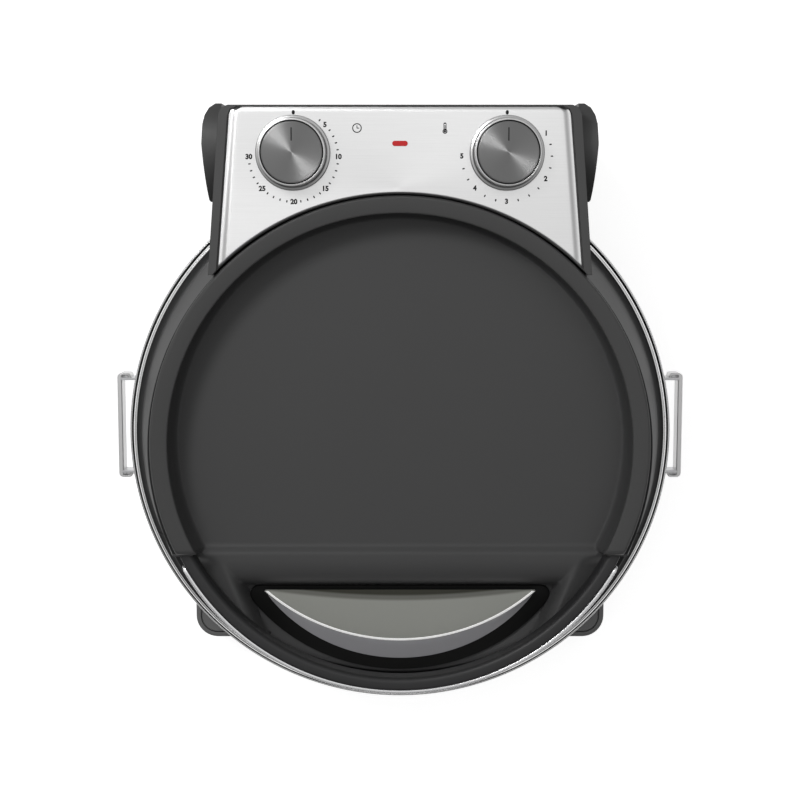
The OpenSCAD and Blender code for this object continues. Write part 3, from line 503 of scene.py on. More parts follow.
def makeGlassTint():
    s = glassToneAndShade
    group, given, result, put, link = newGroup(
        "glassTintAndShade",
        {"Color": (0.5, 0.5, 0.5, 1), "PaintedShadow": (0.05, 0.05, 0.045, 1), "ReflectionTone": (0.2, 0.2, 0.2, 1),
         "Edge": 0.0, "Bow": 1.0, "Bend": 0.0, "BendR": 0.1},
        {"Color": "Color"})
    split = put("ShaderNodeSeparateXYZ")
    link(put("ShaderNodeTexCoord").outputs["Object"], split.inputs[0])
    across = mathNode(put, link, "MULTIPLY", split.outputs["X"], split.outputs["X"])
    bowed = mathNode(put, link, "MULTIPLY", across, given.outputs["Bow"])
    line = mathNode(put, link, "ADD", given.outputs["Edge"], bowed)
    depth = mathNode(put, link, "SUBTRACT", split.outputs["Y"], line)
    soft = softStep(put, link, depth, -s["blur"] * mm, s["blur"] * mm)
    deep = softStep(put, link, depth, s["deepFrom"] * mm, s["deepTo"] * mm)
    share = mathNode(put, link, "ADD", mathNode(put, link, "MULTIPLY", soft, s["softShare"]),
                     mathNode(put, link, "MULTIPLY", deep, s["deepShare"]))
    # painted shadow: the dark colour is blended in under the straight edge
    upper = blendColor(put, link, share, given.outputs["Color"], given.outputs["PaintedShadow"])
    # painted reflection: the low band below the bend gets its own lighter, bluer tone
    along = mathNode(put, link, "SUBTRACT", split.outputs["Y"], given.outputs["Bend"])
    squares = mathNode(put, link, "ADD", across, mathNode(put, link, "MULTIPLY", along, along))
    low = mathNode(put, link, "GREATER_THAN", mathNode(put, link, "SQRT", squares), given.outputs["BendR"])
    link(blendColor(put, link, low, upper, given.outputs["ReflectionTone"]), result.inputs["Color"])
    return group


def smokedGlass(name):
    s = glassToneAndShade
    look, tree, shader = newLook(name, 0.0, 0.5, {"IOR": 1.5, "Coat Weight": 0.3, "Coat Roughness": 0.05})
    tintAndShade = useGroup(tree, makeGlassTint(), {
        "Color": (*s["color"], 1), "PaintedShadow": (*s["shadowColor"], 1), "ReflectionTone": (*s["band"], 1), "Bow": s["bow"],
        "Edge": rimY + s["edgeY"] * mm, "Bend": rimY + s["bendY"] * mm, "BendR": s["bendR"] * mm})
    tone = useGroup(tree, toneEffect, {"Color": tintAndShade.outputs["Color"], "Roughness": s["rough"],
                                       "Spread": 0.06, "Wear": 0.04})
    tree.links.new(tone.outputs["Color"], shader.inputs["Base Color"])
    tree.links.new(tone.outputs["Roughness"], shader.inputs["Roughness"])
    return look


windowGlass = smokedGlass("windowGlass")
# near-white and glowing: a painted highlight for the bend of the pane
glassBendHighlight = paint("glassBendHighlight", (0.97, 0.97, 0.96), 0.3, depth=0.01, edge=0.0002, spread=0.02,
                  extra=glow((1, 1, 0.98), 0.3))
print("stage: looks made")

slotLooks = {
    "bowl_enamel": bowlPaint, "steel_trim": trimSteel, "steel_plain": plainSteel, "zinc_screws": zincLook,
    "leg_plastic": legPlastic, "pad_rubber": padRubber, "reflector_sheet": reflectorSheet,
    "element_sheath": elementSheath, "ceramic_parts": ceramicLook, "stone": stoneLook,
    "housing_plastic": housingPlastic, "chrome_parts": handleChrome, "lid_paint": lidPaint,
    "crown_plastic": crownPaint, "window_glass": windowGlass, "gasket_rubber": gasketRubber,
    "handle_plastic": handlePaint, "panel_steel": panelSteel, "bush_brass": brassLook,
    "switch_plastic": switchPlastic, "copper_parts": copperLook, "lens_red": lensRed,
    "lamp_glow": lampGlow, "spun_aluminium": chromeLook}
for part in frame["record"]["subparts"]:
    obj = nodes[part["node"]]
    obj.data.materials.clear()
    obj.data.materials.append(slotLooks[part["material_slot"]])
print("stage: frame painted")

# lid skin: levels, the round dish, its ridge in front, the window pocket, shoulders, lip and groove
lidTop = {
    "floorZ": 148.0, "flangeZ": 168.0, "ridgeZ": 151.8, "sillZ": 116.0,
    "dishY": 2.3, "footR": 144.2, "wallR": 147.9, "edgeR": 159.4, "thick": 1.5,
    "ridgeBack": -65.0, "ridgeY": -71.2, "crownEnd": -67.4, "frontAt": 0.6, "frontRun": 2.4,
    "pocketY": -74.6, "pocketRun": 21.0, "sideRun": 5.5, "pocketBlend": 0.07, "farShare": 3.0,
    "cornerX": 117.4, "cornerY": -74.2, "footX": 100.1, "footY": -117.7,
    "windowY": -99.0, "windowZ": 131.6, "tilt": 15.0,
    "shoulderSlope": 0.62, "shoulderRun": 8.0, "shoulderRound": 2.0,
    "lipR": 158.0, "lipY": -1.8, "lipRise": 0.5, "lipClear": 0.4,
    "grooveDepth": 9.0, "grooveWall": 0.8, "grooveHalf": 104.0, "grooveFade": 14.0}

# how finely the lid skin is divided
lidMesh = {"middle": [0, 20, 40, 54], "step": 1.25, "clear": 0.6, "wallSteps": 14, "flangeStep": 0.95,
           "flangeRings": 9, "frontTurn": 0.6, "rearTurn": 1.5, "frontHalf": 70}

# window: a rubber gasket round a pane that bends along an arc
window = {"top": -95.4, "gasketR": 120.8, "gasketY": -36.8, "gasketTip": 7.0, "gasketH": 2.4,
          "glassR": 106.9, "glassY": -41.7, "glassTip": 5.0, "glassTop": -95.6, "glassStep": 0.25,
          "glassSkirt": 0.8, "bendR": 127.9, "bendY": -4.2, "rise": 7.6, "highlightWidth": 2.1}


def windowPlane(y):
    return lidTop["windowZ"] + (y - lidTop["windowY"]) * math.tan(math.radians(lidTop["tilt"]))


def softLeast(a, b):
    # the smaller of two shares, blended where they meet
    k, far = lidTop["pocketBlend"], lidTop["farShare"]
    if min(a, b) <= -far:
        return -far
    return -k * math.log(math.exp(-min(a, far) / k) + math.exp(-min(b, far) / k))


def topHeight(x, y):
    s = lidTop
    r = math.hypot(x, y - s["dishY"])
    # the ridge in front, the crown's seat behind
    front = smooth((s["crownEnd"] + s["frontAt"] - y) / s["frontRun"])
    top = mix(s["flangeZ"], s["ridgeZ"], front)
    # the dish with its round wall and the step in front
    t = max(0.0, min(1.0, (r - s["footR"]) / (s["wallR"] - s["footR"])))
    z = s["floorZ"] + (top - s["floorZ"]) * arcDrop(t)
    step = smooth((s["ridgeBack"] - y) / (s["ridgeBack"] - s["ridgeY"]))
    z = max(z, mix(s["floorZ"], min(top, s["ridgeZ"]), step))
    # shares of the way into the pocket, from behind and from the sides
    back = (s["pocketY"] - y) / s["pocketRun"]
    dx, dy = s["cornerX"] - s["footX"], s["cornerY"] - s["footY"]
    length = math.hypot(dx, dy)
    inward = (s["cornerX"] - abs(x)) * dy / length + (y - s["cornerY"]) * dx / length
    # the shoulders fall away outwards
    away = math.sqrt(max(0.0, -inward) ** 2 + s["shoulderRound"] ** 2) - s["shoulderRound"]
    z -= s["shoulderSlope"] * smooth((s["ridgeY"] - y) / s["shoulderRun"]) * away
    both = softLeast(back, inward / s["sideRun"])
    if both > 0:
        u = min(1.0, both)
        floor = min(windowPlane(y), windowPlane(s["pocketY"] - s["pocketRun"]))
        outside = math.hypot(x, y - window["gasketY"]) - window["gasketR"] - s["lipClear"]
        floor += s["lipRise"] * max(0.0, outside)
        z = mix(z, floor, 0.45 * u ** 2 + 0.55 * u ** 6)  # soft at the top, steep at the foot
    # groove between the lip and the grip
    beyond = math.hypot(x, y - s["lipY"]) - s["lipR"]
    if y < s["lipY"] and abs(x) < s["grooveHalf"]:
        fade = smooth((s["grooveHalf"] - abs(x)) / s["grooveFade"])
        z -= s["grooveDepth"] * smooth(beyond / s["grooveWall"]) * fade
    return z


def buildLidTop():
    s, m = lidTop, lidMesh
    start = m["middle"][-1]
    count = int((s["footR"] - m["clear"] - start) / m["step"])
    radii = m["middle"] + [start + m["step"] * i for i in range(1, count + 1)]
    quarter = [math.sin(math.radians(90 * i / m["wallSteps"])) for i in range(m["wallSteps"] + 1)]
    radii += [s["footR"] + (s["wallR"] - s["footR"]) * t for t in quarter]
    radii += [s["wallR"] + 0.02] + [s["wallR"] + m["flangeStep"] * i for i in range(1, m["flangeRings"] + 1)]
    radii.append(s["edgeR"])
    angles = []
    a = -180.0
    while a < 179.999:
        angles.append(a)
        a += m["frontTurn"] if abs(a + 0.1) < m["frontHalf"] else m["rearTurn"]
    rows = []
    for r in radii:
        # the rings slide from the dish's middle to the rim's
        shift = s["dishY"] * (1 - smooth((r - s["wallR"] - 0.1) / (s["edgeR"] - s["wallR"] - 0.1)))
        rows.append([])
        for a in angles:
            x, y = r * math.sin(math.radians(a)), shift - r * math.cos(math.radians(a))
            rows[-1].append((x, y, topHeight(x, y)))
    return grid(rows, closedAround=True)


# drum: the cone under the crown, its rolled foot, and the sill below the grip
drum = {"footR": 175.6, "topR": 161.3, "footZ": 100.0, "topZ": 168.0, "seatR": 149.9, "seatZ": 167.9,
        "seatUnder": 166.3, "underR": 159.4, "rollR": 179.6, "rollTop": 96.0, "rollZ": 94.0,
        "rollInner": 174.6, "insideR": 174.0, "insideZ": 99.6, "grooveR": 163.5, "sillR": 164.5,
        "frontSide": 72, "frontSteps": 240}


def drumR(z):
    s = drum
    return mix(s["footR"], s["topR"], max(0.0, min(1.0, (z - s["footZ"]) / (s["topZ"] - s["footZ"]))))


def buildDrum():
    # rear: a thin closed wall under the crown; front: wall, sill and foot below the grip
    s, d = lidTop, drum
    outer = rounded([(d["seatR"], d["seatZ"], 0), (drumR(d["topZ"]), d["seatZ"], 1.4),
                     (drumR(d["footZ"]), d["footZ"], 6), (d["rollR"], d["rollTop"], 1.0),
                     (d["rollR"], d["rollZ"], 0.3), (d["rollInner"], d["rollZ"], 0.3),
                     (d["insideR"], d["insideZ"], 2), (d["underR"], d["seatUnder"], 0.5),
                     (d["seatR"], d["seatUnder"], 0)], 6)
    rear = crossCut(*turned(outer, steps=256), s["crownEnd"], "rear", fill=True)
    low = s["sillZ"] - s["grooveDepth"]
    rows = []
    for i in range(d["frontSteps"] + 1):
        a = math.radians(mix(-d["frontSide"], d["frontSide"], i / d["frontSteps"]))
        x, y = math.sin(a), -math.cos(a)
        edge, topZ = s["edgeR"], topHeight(x * s["edgeR"], y * s["edgeR"])
        line = rounded([(edge, topZ, 0), (edge + 0.7, topZ - 0.1, 0.3), (edge + 0.9, low, 0.4),
                        (d["grooveR"], low, 0.8), (d["sillR"], s["sillZ"], 0.6),
                        (drumR(s["sillZ"]), s["sillZ"], 1.6), (drumR(d["footZ"]), d["footZ"], 6),
                        (d["rollR"], d["rollTop"], 1.0), (d["rollR"], d["rollZ"], 0)])
        rows.append([(x * r, y * r, z) for r, z in line])
    return rear, crossCut(*grid(rows), s["crownEnd"] - 0.5, "front")


# plates that close the drum's ends above the sill
endWall = {"innerR": 149.4, "sillR": 158.6, "shelfZ": 151.6, "inside": 0.2, "depth": 1.6, "behind": 0.02,
           "bevel": [(0, 0.5), (0.15, 0.15), (0.5, 0)]}


def buildEndWalls():
    s, e = lidTop, endWall

    def xAt(r):
        return math.sqrt(r * r - s["crownEnd"] ** 2)

    plan = rounded([(xAt(e["innerR"]), drum["topZ"], 0), (xAt(drumR(167)) - e["inside"], drum["topZ"], 0.8),
                    (xAt(drumR(s["sillZ"])) - e["inside"], s["sillZ"], 0), (xAt(e["sillR"]), s["sillZ"], 0),
                    (xAt(e["sillR"]), e["shelfZ"], 0.6), (xAt(e["innerR"]), e["shelfZ"], 0)])
    frontY = s["crownEnd"] - e["depth"]
    levels = [(0, s["crownEnd"] + e["behind"])] + [(d, frontY + y) for d, y in e["bevel"]]
    one = stack([[(x, y, z) for x, z in inset(counterClockwise(plan), d)] for d, y in levels])
    return joined(one, mirrored(*one))


rearDrum, frontDrum = buildDrum()
topSkin = piece("lidDish", *buildLidTop(), "lid", lidPaint, "lid_paint", ("lid_shell",), sharp=50)
piece("lidDrum", *rearDrum, "lid", lidPaintShaded, "lid_paint")
sillSkin = piece("lidSill", *frontDrum, "lid", lidPaintShaded, "lid_paint", sharp=50)
piece("lidEndWalls", *buildEndWalls(), "lid", lidPaint, "lid_paint")
for skin in (topSkin, sillSkin):
    faceUp(skin)
    thicken(skin, lidTop["thick"])
print("stage: lid skin")

# crown ring, with extra edge loops where its ends roll down in front
crown = {"innerR": 147.9, "outerR": 159.3, "z0": 168.1, "innerZ": 173.4, "outerZ": 175.0, "innerEdge": 1.4,
         "outerEdge": 1.8, "endFall": 4.2, "endRun": 4.0, "loops": (4.0, 3.2, 2.4, 1.7, 1.1, 0.6, 0.2)}


def buildCrown():
    s, end = crown, lidTop["crownEnd"]
    outline = rounded([(s["innerR"], s["z0"], 0.2), (s["outerR"], s["z0"], 0.3),
                       (s["outerR"], s["outerZ"], s["outerEdge"]),
                       (s["innerR"], s["innerZ"], s["innerEdge"])])
    verts, faces = turned(outline, 0, lidTop["dishY"], steps=288)
    for back in s["loops"]:
        verts, faces = crossCut(verts, faces, end + back)
    verts, faces = crossCut(verts, faces, end, "rear", fill=True)
    for i, (x, y, z) in enumerate(verts):
        t = max(0.0, 1 - (y - end) / s["endRun"])
        share = (z - s["z0"]) / (s["outerZ"] - s["z0"])
        verts[i] = (x, y, z - share * s["endFall"] * arcDrop(t))
    return verts, faces


piece("crownBand", *buildCrown(), "lid", crownPaint, "crown_plastic", ("crown_ring",))
print("stage: crown")

# grip bar and its bright strip: each a bar bent round the front, with rounded ends
grip = {"innerR": 150.4, "outerR": 158.4, "z0": 152.4, "z1": 166.0, "endY": -68.0, "endRound": 0.8,
        "middleR": 154.4, "edges": (1.6, 0.8, 1.2, 3.4), "steps": 6}
strip = {"innerR": 158.5, "outerR": 160.9, "z0": 158.2, "z1": 165.7, "endY": -76.4, "endRound": 5.0,
         "middleR": 160.0, "edges": (0.2, 0.6, 0.7, 0.5), "steps": 5}
endSteps = [0, 0.03, 0.09, 0.18, 0.3, 0.45, 0.62, 0.8, 1.0]  # shares of the rounded end


def arcBar(s):
    corners = [(s["innerR"], s["z0"]), (s["outerR"], s["z0"]), (s["outerR"], s["z1"]), (s["innerR"], s["z1"])]
    outline = rounded([(*corner, edge) for corner, edge in zip(corners, s["edges"])], s["steps"])
    half = math.degrees(math.acos(-s["endY"] / s["middleR"]))
    reach = math.degrees(s["endRound"] / s["middleR"])
    angles = [half - reach * t for t in endSteps]
    inner = [mix(half - reach, -(half - reach), i / 160) for i in range(1, 160)]
    cr = (min(p[0] for p in outline) + max(p[0] for p in outline)) / 2
    cz = (min(p[1] for p in outline) + max(p[1] for p in outline)) / 2
    rows = []
    for a in angles + inner + [-a for a in reversed(angles)]:
        # the section shrinks towards the ends, a little less in height
        t = max(0.0, min(1.0, (half - abs(a)) / reach))
        grow = math.sqrt(max(0.0, 1 - (1 - t) ** 2)) * 0.985 + 0.015
        rows.append([])
        for r, z in outline:
            out = cr + (r - cr) * grow
            height = cz + (z - cz) * mix(1, grow, 0.75)
            rows[-1].append((out * math.sin(math.radians(a)), -out * math.cos(math.radians(a)), height))
    return stack(rows)


piece("gripBar", *arcBar(grip), "lid", handlePaint, "handle_plastic", ("front_handle",), sharp=50)
piece("gripStrip", *arcBar(strip), "lid", stripChrome, "chrome_parts", ("handle_trim_strip",), sharp=50)
print("stage: grip")


def lens(r, yc, top, tip, n=72):
    # a disc cut straight along its top, with rounded tips, from the left tip round the front to the right
    out = r - tip
    tipX = math.sqrt(out ** 2 - (yc - top + tip) ** 2)
    turn = math.degrees(math.atan2(yc - top + tip, tipX))
    points = arcPoints(-tipX, top - tip, tip, 180, 180 + turn, 12)[:-1]
    points += arcPoints(0, yc, r, 180 + turn, 360 - turn, n - 24)
    return points + arcPoints(tipX, top - tip, tip, 360 - turn, 360, 12)[1:]


def onWindow(x, y, h):
    # a point at the height h above the window's plane
    tilt = math.radians(lidTop["tilt"])
    return (x, y - h * math.sin(tilt), windowPlane(y) + h * math.cos(tilt))


def bendArc(r, shorter, n):
    # the arc of the bend, from the left end to the right
    half = math.sqrt(r ** 2 - (window["bendY"] - window["glassTop"]) ** 2) - shorter
    turn = math.degrees(math.asin(half / r))
    return arcPoints(0, window["bendY"], r, 270 - turn, 270 + turn, n)


def buildGasket():
    s = window
    points = lens(s["gasketR"], s["gasketY"], s["top"], s["gasketTip"])
    tipX = points[-1][0] - s["gasketTip"]
    loop = points + arcPoints(tipX, s["top"] - s["gasketTip"], s["gasketTip"], 0, 90, 8)[1:]
    loop += arcPoints(-tipX, s["top"] - s["gasketTip"], s["gasketTip"], 90, 180, 8)[:-1]
    levels = [(0, 0.1), (0, s["gasketH"] - 0.9), (0.25, s["gasketH"] - 0.3), (0.9, s["gasketH"])]
    return stack([[onWindow(x, y, h) for x, y in inset(counterClockwise(loop), d)] for d, h in levels])


def buildGlass():
    # a low band that rises to the bend, and the flat field behind it
    s = window
    low = lens(s["glassR"], s["glassY"], s["glassTop"], s["glassTip"])
    bend = bendArc(s["bendR"], 0, len(low) - 1)
    edge = s["gasketH"] + s["glassStep"]
    lifts = [(1.0, edge - s["glassSkirt"]), (1.0, edge)]
    lifts += [(t, mix(edge, s["rise"], 1 - t)) for t in (0.86, 0.6, 0.35, 0.12)]
    rows = []
    for t, lift in lifts:
        rows.append([onWindow(mix(b[0], a[0], t), mix(b[1], a[1], t), lift) for a, b in zip(low, bend)])
    for back, drop in ((0.0, 0.30), (0.7, 0.06), (1.6, 0.0)):
        rows.append([onWindow(x, min(y + back, s["glassTop"]), s["rise"] - drop) for x, y in bend])
    for t in (0.15, 0.3, 0.5, 0.75, 1.0):
        rows.append([onWindow(x, min(mix(y + 1.6, s["glassTop"], t), s["glassTop"]), s["rise"])
                     for x, y in bend])
    return grid(rows)


def buildGlassEdge():
    # a near-white, glowing strip along the bend: a painted highlight
    s = window
    rows = []
    for d, lift in ((-0.5, -0.2), (-0.25, 0.3), (0.25, 0.34), (0.5, 0.05)):
        arc = bendArc(s["bendR"] - d * s["highlightWidth"], 1.0, 96)
        rows.append([onWindow(x, y, s["rise"] - 0.25 + lift) for x, y in arc])
    return grid(rows)


piece("windowGasket", *buildGasket(), "lid", gasketRubber, "gasket_rubber", ("window_gasket",), sharp=40)
pane = piece("windowPane", *buildGlass(), "lid", windowGlass, "window_glass", ("window_glass",), sharp=25)
highlightStrip = piece("windowBendHighlight", *buildGlassEdge(), "lid", glassBendHighlight, "window_glass", sharp=60)
faceUp(pane)
faceUp(highlightStrip)
print("stage: window")

# control panel: a brushed sheet that stands above its side flanges
panel = {"z": 176.9, "flangeZ": 175.9, "flange": 1.2, "step": 4.2, "arcR": 162.8, "rearY": 216.7,
         "frontY": 117.6, "rearHalf": 105.4, "frontHalf": 113.8, "corner": 6.0, "roll": 0.85, "rollY": 213.2,
         "thick": 1.0, "backRows": [0, 0.06, 0.25, 0.5, 0.8, 1.2, 1.6, 2.0, 2.6, 3.4, 4.5, 6.0],
         "frontRows": 40, "columns": 48}


def panelHalf(y):
    s = panel
    w = mix(s["frontHalf"], s["rearHalf"], (y - s["frontY"]) / (s["rearY"] - s["frontY"]))
    over = max(0.0, y - (s["rearY"] - s["corner"]))
    return w - s["corner"] + math.sqrt(max(0.0, s["corner"] ** 2 - over ** 2))


def panelPoint(share, margin, y):
    # share runs across from -1 to 1 inside the margin; the sheet rolls down at the back
    s = panel
    x = share * (panelHalf(y) - margin)
    z = mix(s["flangeZ"], s["z"], smooth((panelHalf(y) - abs(x) - s["flange"]) / s["step"]))
    return x, y, z - s["roll"] * smooth((y - s["rollY"]) / (s["rearY"] - s["rollY"]))


def buildPanel():
    s = panel
    edges = [0, 0.6, s["flange"]] + [s["flange"] + s["step"] * k / 8 for k in range(1, 9)]
    field = s["flange"] + s["step"] + 2
    n = s["columns"]
    columns = [(-1, m) for m in edges] + [(k / n, field) for k in range(-n, n + 1)]
    columns += [(1, m) for m in reversed(edges)]
    back, count = s["backRows"], s["frontRows"]
    rows = [[] for k in range(len(back) + count)]
    for share, margin in columns:
        y = 140.0
        for k in range(8):  # settles on the front arc
            y = math.sqrt(s["arcR"] ** 2 - (share * (panelHalf(y) - margin)) ** 2)
        for row, d in zip(rows, back):
            row.append(panelPoint(share, margin, s["rearY"] - d))
        for k, row in enumerate(rows[len(back):]):
            row.append(panelPoint(share, margin, mix(s["rearY"] - back[-1], y, (k + 1) / count)))
    return grid(rows)


sheet = piece("panelSheet", *buildPanel(), "lid", panelSteel, "panel_steel", ("control_panel",), sharp=50)
faceUp(sheet)
thicken(sheet, panel["thick"])
print("stage: panel")

# knobs: a flared foot, a straight body, a dark gap and a spun cap with its pointer
knob = {"x": 66.3, "y": 187.5, "boreR": 3.1, "skirtR": 23.2, "neckR": 20.7, "grooveR": 19.5, "capR": 18.8,
        "z0": 177.3, "z1": 192.4, "pointerTip": 14.6, "pointerLength": 7.4, "pointerWidth": 0.8}


def buildSkirt(x):
    s = knob
    z0, z1, foot, neck = s["z0"], s["z1"], s["skirtR"], s["neckR"]
    outline = rounded([(s["boreR"], z0 + 1, 0), (foot - 0.6, z0, 0.2), (foot, z0 + 0.6, 0.4),
                       (foot, z0 + 1.8, 0.3), (foot - 0.4, z0 + 2.2, 0.4), (neck + 0.5, z0 + 2.6, 0.8),
                       (neck, z0 + 4.5, 1.0), (neck, z1 - 0.5, 0.3), (s["grooveR"], z1 - 0.3, 0.15),
                       (s["grooveR"], z1 - 2.0, 0.1), (s["boreR"], z1 - 2.0, 0)])
    return turned(outline, x, s["y"], steps=128)


def buildCap(x):
    z, r = knob["z1"], knob["capR"]
    rings = [(0, z - 0.02), (r - 1.2, z - 0.02), (r - 0.6, z - 0.06), (r - 0.15, z - 0.3), (r, z - 0.7),
             (r, z - 1.9), (0, z - 1.9)]
    return turned(rings, x, knob["y"], steps=128)


def buildGroove(x):
    # a near-black ring laid in the gap between neck and cap: painted shade
    inner, outer, low, high = knob["capR"] - 0.4, knob["grooveR"] + 0.1, knob["z1"] - 1.95, knob["z1"] - 1.2
    return turned([(inner, low), (outer, low), (outer, high), (inner, high)], x, knob["y"], steps=96)


def buildPointer(x):
    s = knob
    y1 = s["y"] + s["pointerTip"]
    y0 = y1 - s["pointerLength"]
    w = s["pointerWidth"] / 2
    loop = arcPoints(x, y1, w, 0, 180, 8) + arcPoints(x, y0, w, 180, 360, 8)
    return plate(loop, [(0, s["z1"] - 0.3), (0, s["z1"] + 0.03), (0.05, s["z1"] + 0.05)])


spunLook = spun("spunAluminium", grey(0.29), 0.45, 0.93)
pointerInk = paint("pointerInk", grey(0.035), 0.6, specular=0.2, edge=0.0)
shadowInk = paint("shadowInk", grey(0.012), 0.7, specular=0.1, edge=0.0)
for side, body, name in ((-1, "timer_dial", "timer"), (1, "thermostat_dial", "thermostat")):
    x = side * knob["x"]
    top = (x, knob["y"], knob["z1"])
    piece(name + "Skirt", *buildSkirt(x), body, chromeLook, "chrome_parts", (name + "_knob",), sharp=40)
    piece(name + "Cap", *buildCap(x), body, spunLook, "spun_aluminium", (name + "_knob_cap",), sharp=40,
          origin=top)
    piece(name + "GapShade", *buildGroove(x), body, shadowInk, "chrome_parts")
    piece(name + "Pointer", *buildPointer(x), body, pointerInk, "spun_aluminium")
print("stage: knobs")

# printing on the panel; each scale has the middle and radius of its circle and the place of its index
printing = {"z": panel["z"] + 0.08, "textSize": 4.2, "bold": 0.05, "tickLength": 1.6, "tickWidth": 0.8,
            "indexY": 212.3, "indexLength": 2.7, "indexWidth": 1.9}
timerScale = {"circle": (-65.95, 185.1, 27.7), "indexX": -65.9, "degreesPerMinute": 9, "longest": 30}
thermostatScale = {"circle": (66.2, 185.5, 27.9), "indexX": 66.2,
                   "numbers": [("1", 60), ("2", 120), ("3", 180), ("4", 225), ("5", 270)],
                   "ticks": [75, 90, 105, 135, 150, 165, 194, 209, 239, 254]}
signs = {"clock": (-26.6, 202.7), "clockR": (2.35, 2.95), "thermometer": (27.8, 202.7), "bulbR": (0.9, 1.5)}


def flat(loop):
    z = printing["z"]
    return [(x, y, z) for x, y in counterClockwise(loop)], [tuple(range(len(loop)))]


def bar(x, y, angle, length, width):
    # a short line centred at x, y; angle clockwise from the back
    a = math.radians(angle)
    ux, uy = math.sin(a), math.cos(a)
    w = width / 2
    ends = []
    for sign in (1, -1):
        cx, cy = x + sign * ux * (length / 2 - w), y + sign * uy * (length / 2 - w)
        start = math.degrees(math.atan2(uy, ux)) - 90 + (0 if sign > 0 else 180)
        ends += arcPoints(cx, cy, w, start, start + 180, 6)
    return flat(ends)


def annulus(x, y, radii, n=40):
    verts = [(px, py, printing["z"]) for r in radii for px, py in arcPoints(x, y, r, 0, 360, n)[:-1]]
    return verts, [(i, (i + 1) % n, n + (i + 1) % n, n + i) for i in range(n)]


def words(text, x, y, size):
    curve = bpy.data.curves.new("words", "FONT")
    curve.body = text
    curve.size = size
    curve.align_x = "CENTER"
    curve.align_y = "CENTER"
    curve.offset = printing["bold"] * size
    curve.resolution_u = 4
    holder = bpy.data.objects.new("words", curve)
    scene.collection.objects.link(holder)
    bpy.context.view_layer.update()
    mesh = bpy.data.meshes.new_from_object(holder.evaluated_get(bpy.context.evaluated_depsgraph_get()))
    verts = [(v.co.x + x, v.co.y + y, printing["z"]) for v in mesh.vertices]
    faces = [tuple(p.vertices) for p in mesh.polygons]
    bpy.data.objects.remove(holder)
    bpy.data.curves.remove(curve)
    bpy.data.meshes.remove(mesh)
    return verts, faces


def dialPrint(scale, numbers, ticks):
    # numbers and ticks stand on a circle at their angles, clockwise from the back
    cx, cy, r = scale["circle"]
    parts = [bar(scale["indexX"], printing["indexY"], 0, printing["indexLength"], printing["indexWidth"])]
    for text, angle in numbers:
        a = math.radians(angle)
        parts.append(words(text, cx + r * math.sin(a), cy + r * math.cos(a), printing["textSize"]))
    for angle in ticks:
        a = math.radians(angle)
        parts.append(bar(cx + r * math.sin(a), cy + r * math.cos(a), angle, printing["tickLength"],
                         printing["tickWidth"]))
    return joined(*parts)


def buildTimerPrint():
    turn, longest = timerScale["degreesPerMinute"], timerScale["longest"]
    numbers = [(str(minute), turn * minute) for minute in range(5, longest + 1, 5)]
    ticks = [turn * minute for minute in range(4, longest) if minute % 5]
    return dialPrint(timerScale, numbers, ticks)


def buildSigns():
    # a clock beside the timer, a thermometer beside the thermostat
    cx, cy = signs["clock"]
    parts = [annulus(cx, cy, signs["clockR"]), bar(cx, cy + 0.75, 0, 1.9, 0.5),
             bar(cx + 0.65, cy - 0.05, 90, 1.6, 0.5)]
    cx, cy = signs["thermometer"]
    parts.append(annulus(cx, cy - 2.0, signs["bulbR"], 28))
    parts.append(flat(arcPoints(cx, cy - 2.0, 0.75, 0, 360, 20)[:-1]))
    parts += [bar(cx + side * 0.75, cy + 0.7, 0, 4.2, 0.35) for side in (-1, 1)]
    parts.append(bar(cx, cy + 0.2, 0, 3.4, 0.6))
    parts.append(flat(arcPoints(cx, cy + 2.5, 0.9, 0, 180, 12)))
    return joined(*parts)


thermostatPrint = dialPrint(thermostatScale, thermostatScale["numbers"], thermostatScale["ticks"])
prints = {"timerPrint": buildTimerPrint(), "thermostatPrint": thermostatPrint, "signPrint": buildSigns()}
for name, shape in prints.items():
    piece(name, *shape, "lid", inkLook, "handle_plastic", weld=False)
print("stage: printing")

# round rims: radius, height and rounding at each corner of their sections
rims = {
    "baseRim": {"body": "base", "stands": "base_rim_ring", "steps": 4, "section": [
        (180.7, 80.2, 0.3), (184.2, 80.4, 0.8), (185.0, 82.0, 0.8), (185.0, 90.2, 1.2), (184.4, 92.3, 0.5),
        (183.3, 92.3, 0.5), (182.9, 90.2, 0.3), (182.6, 85.0, 0.5), (180.7, 84.2, 0.2)]},
    "lidRim": {"body": "lid", "stands": "lid_trim_ring", "steps": 5, "section": [
        (176.4, 93.0, 0.1), (181.4, 93.0, 0.3), (181.8, 93.5, 0.3), (181.8, 95.2, 1.0), (180.8, 96.6, 0.8),
        (179.4, 96.7, 0.4), (179.0, 95.6, 0.1), (176.4, 95.6, 0.1)]}}
for name, rim in rims.items():
    shape = turned(rounded(rim["section"], rim["steps"]), steps=320)
    piece(name, *shape, rim["body"], trimSteel, "steel_trim", (rim["stands"],), sharp=45)
print("stage: rims")

# side handles: a flat strap whose ends turn in and curl back
strap = {"outerX": 195.3, "half": 36.4, "thick": 3.3, "thin": 1.7, "z0": 64.2, "z1": 78.8, "bend": 3.0,
         "innerBend": 0.6, "armX": 186.0, "curl": 3.0, "tipY": 31.6, "edge": 0.5}
strapLow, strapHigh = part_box("side_handle_left")
strapY = ((strapLow.y + strapHigh.y) / 2 - rimY) / mm


